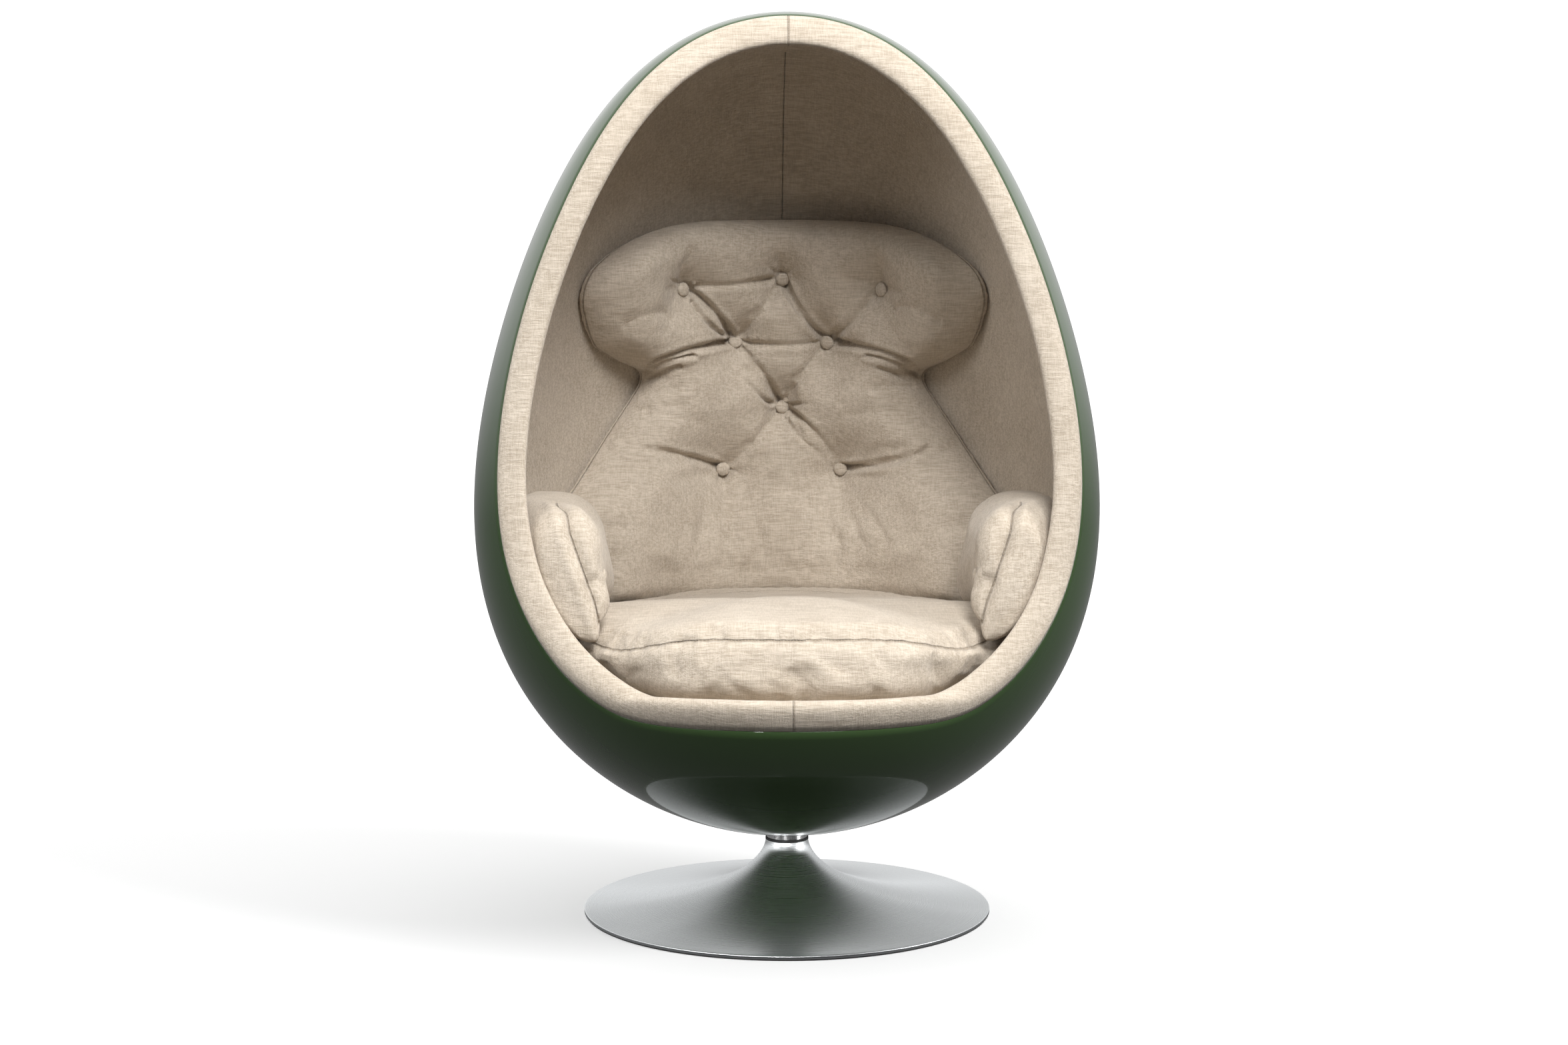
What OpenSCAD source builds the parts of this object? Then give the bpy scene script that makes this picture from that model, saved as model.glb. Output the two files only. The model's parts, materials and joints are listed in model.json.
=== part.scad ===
// Pod chair: an egg-shaped glass fibre shell, lined and cushioned, that turns on a trumpet base.
// Millimetres. +Z is up, the sitter faces -Y, and the origin is on the floor at the swivel axis.

/* [Base] */
// Diameter of the trumpet base at the floor
base_d = 580; // [480:5:700]
// Height of the trumpet's neck above the floor
neck_h = 102; // [84:1:130]
// Width of the turned-in lip at the trumpet's neck
neck_lip = 5.5; // [4.5:0.1:8]
// Metal thickness of the spun trumpet
skin_t = 1.5; // [1:0.1:2.5]
// Free height inside the trumpet's rim, over the bottom plate
rim_room = 1; // [0.5:0.1:3]
// Thickness of the pad under the base
pad_t = 2; // [1:0.1:4]
// Thickness of the pressed bottom plate
plate_t = 2; // [1:0.1:3]
// Diameter of the column's foot
foot_d = 120; // [95:1:145]
// Thickness of the column's foot
foot_t = 6; // [4:0.5:9]
// Height of the black clamping ring on the neck
ring_t = 3; // [2:0.1:5]

/* [Swivel] */
// Diameter of the spindle that the shell turns on
spindle_d = 30; // [24:0.5:38]
// Wall of each bush
bush_wall = 4; // [3:0.1:6]
// Height of each bush
bush_h = 18; // [12:0.5:24]
// Wall of the column tube
column_wall = 6; // [4.5:0.1:8]
// Radial running clearance of the spindle in its bushes
run_gap = 0.05; // [0.02:0.01:0.1]
// Diameter of the thrust bearing's balls
ball_d = 4; // [3:0.1:5]
// Number of balls in the thrust bearing
ball_n = 14; // [8:1:16]
// Thickness of each race of the thrust bearing
race_t = 2; // [1.5:0.1:3]
// Thickness of the snap ring and of its washer
clip_t = 1.5; // [1:0.1:2.2]
// Diameter of the spindle's stem inside the shell
stem_d = 44; // [38:0.5:52]
// Thickness of the collar's top over the thrust bearing
collar_web = 2.2; // [1.5:0.1:4]

/* [Shell] */
// Width of the shell at its belly
shell_w = 880; // [720:10:1060]
// Height of the shell from its lowest to its highest point
shell_h = 1154; // [950:2:1380]
// Wall of the glass fibre shell
shell_wall = 5; // [3.5:0.5:7]

/* [Lining] */
// Thickness of the foam glued to the inside of the shell
foam_t = 22; // [16:1:28]
// Thickness of the lining fabric with its backing
fabric_t = 1.8; // [1:0.1:3]
// Depth of the padded rim from the shell's outside inwards
rim_t = 34; // [28:1:42]
// How far the rim padding reaches back into the shell
rim_back = 20; // [15:1:26]
// How far the rim padding stands in front of the shell's edge
rim_proud = 9; // [6:0.5:14]
// How far the padding stands above the edge along the front lip
lip_proud = 40; // [28:1:45]
// Width of the batten that the rim padding is stapled to
batten_w = 12; // [8:1:18]

/* [Shell mounting] */
// Diameter of the laminated block in the bottom of the shell
block_d = 220; // [180:5:270]
// Height of the block's top above the shell's lowest point
block_h = 36; // [30:1:45]
// Diameter of the steel flange on the spindle's stem
flange_d = 180; // [160:2:210]
// Thickness of the flange
flange_t = 6; // [4:0.5:9]
// Diameter of the circle that the flange bolts stand on
bolt_circle_d = 130; // [118:1:140]
// Thread diameter of the flange bolts
bolt_d = 8; // [6:0.5:10]
// Number of flange bolts
bolt_n = 4; // [3:1:6]

/* [Seat] */
// Height of the plywood deck's top above the lip of the shell
deck_rise = 26; // [18:1:35]
// Thickness of the plywood deck
deck_t = 15; // [10:1:20]
// Height of the seat cushion at its crown
seat_t = 111; // [80:1:130]
// How far the seat cushion's top sinks towards its back
seat_sink = 36; // [20:1:50]
// Height of the seat cushion's seam above the deck
seat_seam = 83; // [66:1:100]
// How far the seat cushion's front corners droop
seat_droop = 22; // [10:1:35]
// Height of each block that carries the deck
cleat_h = 40; // [30:1:60]
// Number of blocks that carry the deck
cleat_n = 6; // [4:1:8]

/* [Back cushion] */
// Height of the back cushion from its bottom edge to its crown
back_h = 585; // [480:5:680]
// Thickness of the back cushion between its tufts
back_t = 88; // [70:1:105]
// Depth that the buttons pull the back cushion in
tuft_depth = 30; // [20:1:36]
// Width of the dimple around each button
tuft_w = 90; // [76:1:120]

/* [Arm cushions] */
// Height of each arm cushion
arm_h = 139; // [115:1:170]
// Distance between the inner faces of the two arm cushions
arm_span = 464; // [400:2:540]
// Length of each arm cushion from front to back
arm_l = 345; // [290:2:400]
// How much further forwards each arm cushion reaches at its foot than at its top
arm_lean = 36; // [30:2:80]
// Depth of the sewn channel on each arm's front
arm_channel = 8; // [4:0.5:12]

/* [Buttons] */
// Diameter of the fabric-covered buttons
button_d = 21; // [17:0.5:25]
// Height of a button's dome
button_h = 5; // [3:0.5:8]

/* [Hidden] */
$fn = 96;

// Clearances: overrun of a cut, gap between glued or seated faces, gap between turning faces
cut = 1;
fit_gap = 0.3;
turn_gap = 0.4;
soft_gap = 0.6;

// Base stack, from the floor up
base_r = base_d / 2;
plate_top = pad_t + plate_t;
edge_h = plate_top + rim_room + skin_t;
column_bore_r = spindle_d / 2 + run_gap + bush_wall;
column_r = column_bore_r + column_wall;
neck_r = column_r + neck_lip;
// Control points of the trumpet's flare: share of the reach outwards, share of the drop
flare_shares = [[0, 1], [0.01, 0.64], [0.27, 0.04], [1, 0]];
flare_n = 24;
// Where along the flare the ballast disc's edge lies
ballast_edge_share = 0.7;
column_top = neck_h + ring_t;
screw_d = 6;
screw_head_d = 10;
screw_head_h = 5;
screw_n = 4;

// Bearing stack on top of the column
race_play = 1;
race_in_r = spindle_d / 2 + race_play;
race_out_r = column_r - race_play;
ball_play = 0.02;
ball_pitch_r = (race_in_r + race_out_r) / 2;
cage_share = 0.4;
cage_t = ball_d * cage_share;
cage_rim = 0.5;
shoulder_z = column_top + 2 * race_t + ball_d + 2 * ball_play;
egg_bottom = shoulder_z + collar_web + fit_gap;
collar_set = 1.3;
collar_r = neck_r - collar_set;
stem_r = stem_d / 2;

// Egg of the shell: r = a sin(t) (1 + s1 c + s2 c^2 + s3 c^3), z = middle + b c, with c = cos(t)
egg_shares = [-0.204, 0.061, 0.099];
belly_share = 0.979;
egg_a = shell_w / 2 * belly_share;
egg_b = shell_h / 2;
egg_mid = egg_bottom + egg_b;
egg_n = 72;
step_deg = 0.5;

// Side view of the mouth's edge: share of the half width forwards, share of the height up
mouth_shares = [
    [0.170, 1.018], [0.262, 0.900], [0.327, 0.780], [0.370, 0.632], [0.425, 0.485], [0.490, 0.364],
    [0.573, 0.267], [0.648, 0.206], [0.723, 0.183], [0.865, 0.179], [1.020, 0.179]
];
mouth_knots = len(mouth_shares) - 1;
mouth_steps = 10;
knot_step = 0.1;
lip_knot = mouth_knots - 1;
rim_n = 88;
// Where the rim's reach starts to grow towards the lip, and where it is full
lip_shares = [0.3, 0.85];

// Depths below the outside of the shell
foam_in = shell_wall + 2 * fit_gap;
fabric_in = foam_in + foam_t + fit_gap;
lining_in = fabric_in + fabric_t;

// Shell mounting, from the block up
block_r = block_d / 2;
block_top = egg_bottom + block_h;
flange_top = block_top + flange_t;
bolt_head_share = 0.65;
bolt_head_h = bolt_d * bolt_head_share;
washer_t = 1.6;
washer_share = 1.05;
tee_wall = 2;
tee_flange = 6;
tee_flange_t = 1.5;
bolt_l = 24;

// Seat
lip_z = egg_bottom + mouth_shares[lip_knot][1] * shell_h;
deck_top = lip_z + deck_rise;
deck_gap = 4;
deck_front_share = 0.41;
deck_r = wall_r(deck_top - deck_t, shell_wall) - deck_gap;
deck_front_r = wall_r(deck_top - deck_t, rim_t) - soft_gap;
cleat_deg = 12;
cleat_span = 228;
cleat_steps = 4;
deck_screw_d = 5;
deck_screw_head_d = 10;
deck_screw_head_h = 3;
deck_screw_l = 32;
deck_screw_set = 28;

// Seat cushion: plan and section
seat_r = wall_r(deck_top + fit_gap, lining_in) - soft_gap;
seat_front = outer_r(lip_z) - rim_t - soft_gap;
seat_corner_power = 2.5;
seat_corner_share = 1.02;
// How far the underside of the front corners is drawn in
seat_tuck_share = 0.16;
seat_a_n = 48;
// Where the top starts to sink and where it is lowest: shares of the plan radius behind the middle
seat_sink_shares = [-0.45, 0.4];
// Section: share of the plan radius, share of the seam's height, share of the crown over the seam
seat_top_shares = [
    [0.15, 1, 0.99], [0.28, 1, 0.97], [0.4, 1, 0.93], [0.52, 1, 0.86], [0.72, 1, 0.68], [0.86, 1, 0.46],
    [0.95, 1, 0.22]
];
seat_side_shares = [
    [1, 1, 0], [1.008, 0.86, 0], [1.01, 0.68, 0], [1.002, 0.48, 0], [0.988, 0.28, 0], [0.965, 0.11, 0],
    [0.93, 0, 0], [0.45, 0, 0]
];

// Back cushion: shares of its height, each with its half width there as a share of the belly's half width
back_seat_share = 0.97;
back_bottom = seat_top(0, seat_r * back_seat_share) + soft_gap;
back_width_shares = [
    [0, 0.7], [0.076, 0.75], [0.168, 0.79], [0.261, 0.785], [0.353, 0.707], [0.445, 0.634], [0.538, 0.559],
    [0.593, 0.516], [0.63, 0.498], [0.648, 0.545], [0.667, 0.6], [0.685, 0.645], [0.722, 0.674],
    [0.768, 0.688], [0.815, 0.698], [0.861, 0.704], [0.907, 0.696], [0.953, 0.678], [1, 0.648]
];
back_crown_share = 0.118;
back_edge_t = 18;
back_round = 56;
back_u_n = 24;
back_v_n = 24;
// Buttons: share of the belly's half width sideways on the wall behind, share of the cushion's height up
button_shares = [
    [-0.405, 0.824], [0, 0.846], [0.405, 0.824], [-0.19, 0.68], [0.19, 0.68], [0, 0.507],
    [-0.238, 0.343], [0.238, 0.343]
];
// Places at the waist and beside the lowest buttons that folds run out to, counted on after the buttons
fold_end_shares = [[-0.5, 0.607], [0.5, 0.607], [-0.56, 0.39], [0.56, 0.39]];
// Pairs of places with a fold pulled between them
fold_pairs = [[0, 1], [0, 3], [1, 3], [1, 4], [3, 4], [3, 5], [4, 5], [3, 8], [4, 9], [6, 10], [7, 11]];
fold_depth = 7;
fold_w = 34;

// Arm cushions
arm_in = max(rim_t, lining_in) + soft_gap;
arm_top = deck_top + seat_t + arm_h;
arm_front_share = 0.575;
arm_front = wall_r(deck_top + seat_t, lining_in) * arm_front_share;
arm_round = 60;
arm_power = 2.7;
// Shares of its inner, upper and lower half that the arm keeps at its two ends
arm_end_shares = [0.64, 0.68, 0.94];
arm_s_n = 18;
arm_a_n = 22;
arm_channel_x_share = 0.26;
arm_channel_w = 26;
arm_button_y_share = 0.17;
arm_button_z_share = 0.3;
arm_tuft_depth = 9;
arm_tuft_w = 60;

button_back_share = 0.52;
button_gap = 0.5;

glossy_green = "#3f5637";
linen = "#d9cbb2";
brushed = "#b4b9bb";
steel = "#8b8f92";
rubber = "#1b1b1b";
ply = "#c39a62";
foam = "#ece4c8";
bronze = "#b98b46";

// Egg point at angle t from the top, as [radius, height]
function egg_form(c) = 1 + egg_shares[0] * c + egg_shares[1] * c * c + egg_shares[2] * c * c * c;
function egg_pt(t) = [egg_a * sin(t) * egg_form(cos(t)), egg_mid + egg_b * cos(t)];
function egg_dir(t) = let (d = egg_pt(t + step_deg) - egg_pt(t - step_deg)) d / norm(d);
// Egg point moved a depth d towards the inside
function egg_in(t, d) = egg_pt(t) + d * [egg_dir(t)[1], -egg_dir(t)[0]];
function clamp1(c) = max(-1, min(1, c));
function mix(a, b, f) = a + (b - a) * f;
function smooth(f) = let (c = max(0, min(1, f))) c * c * (3 - 2 * c);
function outer_r(z) = let (c = clamp1((z - egg_mid) / egg_b)) egg_a * sqrt(1 - c * c) * egg_form(c);
// Angle at which the surface at depth d passes height z
function egg_t(z, d, k = 8) =
    k == 0 ? acos(clamp1((z - egg_mid) / egg_b))
           : let (t = egg_t(z, d, k - 1)) acos(clamp1((z - egg_mid - egg_in(t, d)[1] + egg_pt(t)[1]) / egg_b));
function wall_r(z, d) = egg_in(egg_t(z, d), d)[0];
// Layer of the egg between two depths, as a closed outline from the top to angle t1
function layer(d0, d1, t1) = concat(
    [for (i = [0:egg_n]) egg_in(t1 * i / egg_n, d0)],
    [for (i = [egg_n:-1:0]) egg_in(t1 * i / egg_n, d1)]
);

function bezier(p, t) = let (u = 1 - t)
    u * u * u * p[0] + 3 * u * u * t * p[1] + 3 * u * t * t * p[2] + t * t * t * p[3];
// Smooth curve through the points of p, at s knots from the first
function spline(p, s) = let (
    last = len(p) - 1,
    i = min(last - 1, max(0, floor(s))),
    f = s - i,
    a = p[i],
    b = p[i + 1],
    ta = (b - p[max(0, i - 1)]) / (i > 0 ? 2 : 1),
    tb = (p[min(last, i + 2)] - a) / (i + 2 <= last ? 2 : 1)
) a * (2 * f * f * f - 3 * f * f + 1) + ta * (f * f * f - 2 * f * f + f)
    + b * (3 * f * f - 2 * f * f * f) + tb * (f * f * f - f * f);

// Edge of the mouth in side view, as [y, z], with s counted in knots from the crown to the lip
function mouth(s) = let (p = spline(mouth_shares, s)) [-p[0] * shell_w / 2, egg_bottom + p[1] * shell_h];
function mouth_dir(s) = let (d = mouth(s + knot_step) - mouth(s - knot_step)) d / norm(d);
// The same edge moved a depth d into the shell
function mouth_in(s, d) = mouth(s) + d * [-mouth_dir(s)[1], mouth_dir(s)[0]];
// How far the rim stands forwards: more along the lip than up the sides
function rim_reach(a) =
    mix(rim_proud, lip_proud, smooth((-cos(a) - lip_shares[0]) / (lip_shares[1] - lip_shares[0])));
// Side view of a line along the rim: q is its depth, its reach forwards and its share of the rim's reach
function rim_line(q, s, a) = mouth_in(s, -q[1] - q[2] * rim_reach(a));
function rim_inside(q, s, a) = let (p = rim_line(q, s, a)) wall_r(p[1], q[0]) + p[0];
// Knot between lo and hi where the line leaves the shell
function crossing(q, a, lo, hi, k = 26) = let (m = (lo + hi) / 2)
    k == 0 ? m : (rim_inside(q, m, a) > 0) == (rim_inside(q, lo, a) > 0)
        ? crossing(q, a, m, hi, k - 1) : crossing(q, a, lo, m, k - 1);
// Point of the line at angle a round the mouth from its crown
function rim_at(q, a, crown, lip) = let (
    p = rim_line(q, (crown + lip) / 2 - cos(a) * (lip - crown) / 2, a),
    r = wall_r(p[1], q[0])
) [sign(sin(a)) * sqrt(max(0, r * r - p[0] * p[0])), p[0], p[1]];

// Triangles of a grid of rings; wrap joins the last ring to the first
function ring_faces(rings, points, wrap) = [
    for (i = [0:rings - (wrap ? 1 : 2)], j = [0:points - 1])
        let (a = i * points + j, b = i * points + (j + 1) % points,
             c = ((i + 1) % rings) * points + (j + 1) % points, d = ((i + 1) % rings) * points + j)
            each [[a, b, c], [a, c, d]]
];
// Fans that close the first and last ring onto the two points after them
function cap_faces(rings, points) = let (top = rings * points, end = (rings - 1) * points) [
    for (j = [0:points - 1]) each [
        [top, (j + 1) % points, j],
        [top + 1, end + j, end + (j + 1) % points]
    ]
];

module spun(outline) { rotate_extrude() polygon(outline); }

module ring(r_in, r_out, z, h) {
    translate([0, 0, z]) difference() {
        cylinder(r = r_out, h = h);
        translate([0, 0, -cut]) cylinder(r = r_in, h = h + 2 * cut);
    }
}

module around(n, r) {
    for (i = [0:n - 1]) rotate([0, 0, 360 * (i + 0.5) / n]) translate([r, 0, 0]) children();
}

// Everything in front of the mouth's edge, after the edge is moved a depth d into the shell
module mouth_cut(d) {
    edge = [for (i = [0:mouth_knots * mouth_steps]) mouth_in(i / mouth_steps, d)];
    rotate([90, 0, 90]) linear_extrude(height = 2 * shell_w, center = true)
        polygon(concat(edge, [[-shell_w, edge[len(edge) - 1][1]], [-shell_w, edge[0][1]]]));
}

// Flare of the trumpet, as points from the neck to the rim
function flare_pt(t) = let (p = bezier(flare_shares, t))
    [neck_r + p[0] * (base_r - neck_r), edge_h + p[1] * (neck_h - edge_h)];
function flare_in(t) = let (d = flare_pt(min(1, t + 1 / flare_n)) - flare_pt(max(0, t - 1 / flare_n)))
    flare_pt(t) + skin_t * [d[1], -d[0]] / norm(d);
ballast_edge = flare_in(ballast_edge_share) - [skin_t, fit_gap];
ballast_top = ballast_edge[1];
foot_top = ballast_top + foot_t;

module floor_pad() { color(rubber) cylinder(r = base_r - skin_t, h = pad_t); }

module bottom_plate() {
    color(steel) translate([0, 0, pad_t]) cylinder(r = base_r - skin_t - fit_gap, h = plate_t);
}

module ballast_disc() {
    color(steel) difference() {
        translate([0, 0, plate_top]) cylinder(r = ballast_edge[0], h = ballast_top - plate_top);
        around(screw_n, screw_circle_r)
            translate([0, 0, plate_top]) cylinder(r = screw_d / 2 + run_gap, h = ballast_top);
    }
}

screw_circle_r = (column_r + foot_d / 2) / 2;

module column() {
    shoulder_r = neck_r - skin_t - fit_gap;
    shoulder_top = neck_h - skin_t;
    color(steel) difference() {
        spun([
            [column_bore_r, ballast_top], [foot_d / 2, ballast_top], [foot_d / 2, foot_top],
            [column_r, foot_top], [column_r, shoulder_top - 2 * ring_t], [shoulder_r, shoulder_top - ring_t],
            [shoulder_r, shoulder_top], [column_r, shoulder_top], [column_r, column_top],
            [column_bore_r, column_top]
        ]);
        around(screw_n, screw_circle_r)
            translate([0, 0, ballast_top - cut]) cylinder(r = screw_d / 2 + run_gap, h = foot_t + 2 * cut);
    }
}

module column_screws() {
    color(steel) around(screw_n, screw_circle_r) {
        translate([0, 0, plate_top + fit_gap]) cylinder(r = screw_d / 2, h = foot_top - plate_top);
        translate([0, 0, foot_top]) cylinder(r = screw_head_d / 2, h = screw_head_h);
    }
}

module base_trumpet() {
    outside = [for (i = [0:flare_n]) flare_pt(i / flare_n)];
    underside = [for (i = [flare_n - 1:-1:1]) flare_in(i / flare_n)];
    color(brushed) spun(concat(
        outside,
        [[base_r, pad_t], [base_r - skin_t, pad_t], [base_r - skin_t, edge_h - skin_t]],
        underside,
        [
            [neck_r - skin_t, neck_h - skin_t],
            [column_r + fit_gap, neck_h - skin_t],
            [column_r + fit_gap, neck_h]
        ]
    ));
}

module neck_ring() { color(rubber) ring(column_r + run_gap, neck_r + fit_gap, neck_h, ring_t); }

spindle_tail = 6;
bush_low_z = ballast_top + 3 * clip_t + turn_gap + spindle_tail;

module bush(z) { color(bronze) ring(spindle_d / 2 + run_gap, column_bore_r, z, bush_h); }
module lower_bush() { bush(bush_low_z); }
module upper_bush() { bush(column_top - bush_h); }

module race(z) { color(steel) ring(race_in_r, race_out_r, z, race_t); }
module lower_race() { race(column_top); }
module upper_race() { race(shoulder_z - race_t); }

ball_z = column_top + race_t + ball_play + ball_d / 2;

module thrust_balls() {
    color("silver") around(ball_n, ball_pitch_r) translate([0, 0, ball_z]) sphere(d = ball_d);
}

module ball_cage() {
    color(linen) difference() {
        ring(race_in_r + cage_rim, race_out_r - cage_rim, ball_z - cage_t / 2, cage_t);
        around(ball_n, ball_pitch_r)
            translate([0, 0, ball_z - cage_t]) cylinder(d = ball_d + cage_rim, h = 2 * cage_t);
    }
}

clip_z = bush_low_z - turn_gap - 2 * clip_t;
groove_r = spindle_d / 2 - clip_t;

module spindle() {
    r = spindle_d / 2;
    color("silver") spun([
        [0, clip_z - spindle_tail], [r - clip_t, clip_z - spindle_tail], [r, clip_z - spindle_tail + clip_t],
        [r, clip_z], [groove_r, clip_z], [groove_r, clip_z + clip_t], [r, clip_z + clip_t],
        [r, shoulder_z], [stem_r, shoulder_z], [stem_r, flange_top], [0, flange_top]
    ]);
}

module snap_ring() {
    color(steel) ring(groove_r + run_gap, spindle_d / 2 + clip_t, clip_z + run_gap, clip_t - 2 * run_gap);
}

module spindle_washer() {
    color(steel) ring(spindle_d / 2 + run_gap, column_bore_r - fit_gap, clip_z + clip_t, clip_t);
}

module neck_collar() {
    color("silver") spun([
        [race_out_r + fit_gap, column_top + turn_gap], [collar_r, column_top + turn_gap],
        [collar_r, egg_bottom - fit_gap], [stem_r + run_gap, egg_bottom - fit_gap],
        [stem_r + run_gap, shoulder_z + run_gap], [race_out_r + fit_gap, shoulder_z + run_gap]
    ]);
}

module spindle_flange() {
    color(steel) difference() {
        ring(stem_r + run_gap, flange_d / 2, block_top, flange_t);
        around(bolt_n, bolt_circle_d / 2)
            translate([0, 0, block_top - cut]) cylinder(d = bolt_d + fit_gap, h = flange_t + 2 * cut);
    }
}

washer_z = flange_top;
head_z = flange_top + washer_t;

module flange_bolts() {
    color(steel) around(bolt_n, bolt_circle_d / 2) {
        translate([0, 0, head_z - bolt_l]) cylinder(d = bolt_d, h = bolt_l);
        translate([0, 0, head_z]) cylinder(r = bolt_d * washer_share - washer_t / 2, h = bolt_head_h, $fn = 6);
    }
}

module flange_washers() {
    color(steel) around(bolt_n, bolt_circle_d / 2)
        ring(bolt_d / 2 + run_gap, bolt_d * washer_share, washer_z, washer_t);
}

tee_r = bolt_d / 2 + run_gap + tee_wall;
tee_z = head_z - bolt_l - tee_flange_t;

module tee_nuts() {
    color(steel) around(bolt_n, bolt_circle_d / 2) {
        ring(bolt_d / 2 + run_gap, tee_r, tee_z, block_top - tee_z - fit_gap);
        ring(bolt_d / 2 + run_gap, tee_r + tee_flange, tee_z, tee_flange_t);
    }
}

module mounting_block() {
    depth = shell_wall + 2 * fit_gap;
    t0 = egg_t(block_top, depth);
    bowl = [for (i = [0:egg_n / 2]) egg_in(t0 + (180 - t0) * i / (egg_n / 2), depth)];
    color(ply) difference() {
        intersection() {
            spun(concat(bowl, [[0, block_top]]));
            cylinder(r = block_r, h = block_top + cut);
        }
        cylinder(r = stem_r + fit_gap, h = block_top + cut);
        around(bolt_n, bolt_circle_d / 2) {
            cylinder(r = tee_r + run_gap, h = block_top + cut);
            cylinder(r = tee_r + tee_flange + fit_gap, h = tee_z + tee_flange_t + fit_gap);
        }
    }
}

module outer_shell() {
    color(glossy_green) difference() {
        spun(layer(0, shell_wall, 180));
        mouth_cut(0);
        cylinder(r = stem_r + fit_gap, h = block_top);
    }
}

// Closed tube round the mouth, with one line along it for each point of its section
function rim_angle(i) = -360 * (i + 0.5) / rim_n;
module rim_tube(section) {
    ends = [for (q = section) [crossing(q, 0, 0, 1), crossing(q, 180, lip_knot - 2, mouth_knots)]];
    points = [for (i = [0:rim_n - 1], j = [0:len(section) - 1])
        rim_at(section[j], rim_angle(i), ends[j][0], ends[j][1])];
    polyhedron(points, ring_faces(rim_n, len(section), true));
}

module rim_batten() {
    back = -rim_back - 3 * fit_gap;
    color(ply) rim_tube([
        [foam_in, back - batten_w, 0], [foam_in, back, 0], [foam_t, back, 0], [foam_t, back - batten_w, 0]
    ]);
}

// Section of the padded rim: it laps over the shell's edge and rounds off inside
rim_front_shares = [[0.02, 0.5], [0.16, 0.86], [0.42, 1], [0.72, 0.86], [0.94, 0.45]];
rim_inner_shares = [[1, 0.3], [0.88, 0.8], [0.62, 1]];

module rim_padding() {
    under = foam_in + fit_gap;
    color(linen) rim_tube(concat(
        [[under, -rim_back, 0], [under, fit_gap, 0], [fit_gap, fit_gap, 0]],
        [for (q = rim_front_shares) [q[0] * rim_t, 0, q[1]]],
        [for (q = rim_inner_shares) [q[0] * rim_t, -q[1] * rim_back, 0]]
    ));
}

lining_edge = rim_back + batten_w + 4 * fit_gap;

module lining_foam() {
    color(foam) difference() {
        spun(layer(foam_in, foam_in + foam_t, egg_t(deck_top + fit_gap, foam_in)));
        mouth_cut(lining_edge);
    }
}

module lining_fabric() {
    color(linen) difference() {
        spun(layer(fabric_in, lining_in, egg_t(deck_top + fabric_t + fit_gap, fabric_in)));
        mouth_cut(rim_back + 2 * fit_gap);
    }
}

// The blocks stand round the back and the sides, clear of the lip
module at_cleats() {
    for (i = [0:cleat_n - 1]) rotate([0, 0, 90 + cleat_span * (i / (cleat_n - 1) - 0.5)]) children();
}

module seat_deck() {
    color(ply) difference() {
        translate([0, 0, deck_top - deck_t]) linear_extrude(height = deck_t) union() {
            circle(r = deck_front_r);
            intersection() {
                circle(r = deck_r);
                translate([-deck_r, -deck_r * deck_front_share]) square([2 * deck_r, 2 * deck_r]);
            }
        }
        at_deck_screws() {
            translate([0, 0, deck_top - deck_t - cut])
                cylinder(d = deck_screw_d + fit_gap, h = deck_t + 2 * cut);
            translate([0, 0, deck_top - deck_screw_head_h - fit_gap])
                cylinder(d = deck_screw_head_d + fit_gap, h = deck_screw_head_h + cut);
        }
    }
}

module at_deck_screws() {
    at_cleats() for (side = [-1, 1])
        translate([deck_front_r - deck_screw_set, side * deck_screw_set, 0]) children();
}

module deck_screws() {
    color(steel) at_deck_screws() {
        translate([0, 0, deck_top - deck_screw_l]) cylinder(d = deck_screw_d, h = deck_screw_l - deck_screw_head_h);
        translate([0, 0, deck_top - deck_screw_head_h - fit_gap / 2])
            cylinder(d = deck_screw_head_d, h = deck_screw_head_h);
    }
}

module deck_cleats() {
    depth = shell_wall + 2 * fit_gap;
    top = deck_top - deck_t;
    r_in = deck_front_r - 2 * deck_screw_set;
    t0 = egg_t(top, depth);
    t1 = egg_t(top - cleat_h, depth);
    wall = [for (i = [0:cleat_steps]) egg_in(t0 + (t1 - t0) * i / cleat_steps, depth)];
    color(ply) difference() {
        at_cleats() rotate([0, 0, -cleat_deg]) rotate_extrude(angle = 2 * cleat_deg)
            polygon(concat(wall, [[r_in, top - cleat_h], [r_in, top]]));
        at_deck_screws() translate([0, 0, deck_top - deck_screw_l - cut])
            cylinder(d = deck_screw_d + 2 * run_gap, h = deck_screw_l);
    }
}

// Plan radius of the seat cushion at angle a from the front: fuller at its two front corners
function seat_plan(a) = cos(a) <= 0 ? seat_r : min(seat_corner_share * seat_r, 1 / pow(
    pow(cos(a) / seat_front, seat_corner_power) + pow(abs(sin(a)) / seat_r, seat_corner_power),
    1 / seat_corner_power));
// 1 at the two front corners, fading to 0 at the middle of the front and at the sides
function at_corner(a) = cos(a) <= 0 ? 0 : pow(sin(2 * abs(a)), 8);
// What the cushion keeps of its height where it sinks towards its back
function seat_sag(y) = 1 - seat_sink / seat_t * smooth(
    (y / seat_r - seat_sink_shares[0]) / (seat_sink_shares[1] - seat_sink_shares[0]));
function seat_pt(a, q) = let (
    tuck = 1 - seat_tuck_share * at_corner(a) * pow(1 - q[1], 2),
    r = q[0] * tuck * (q[0] > 0.9 ? seat_plan(a) : mix(seat_r * 0.97, seat_plan(a), q[0] / 0.9)),
    seam = seat_seam - seat_droop * at_corner(a) * min(1, q[0]) * q[1],
    y = -r * cos(a)
) [r * sin(a), y, deck_top + fit_gap + seat_sag(y) * (q[1] * seam + q[2] * (seat_t - seat_seam))];
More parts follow.
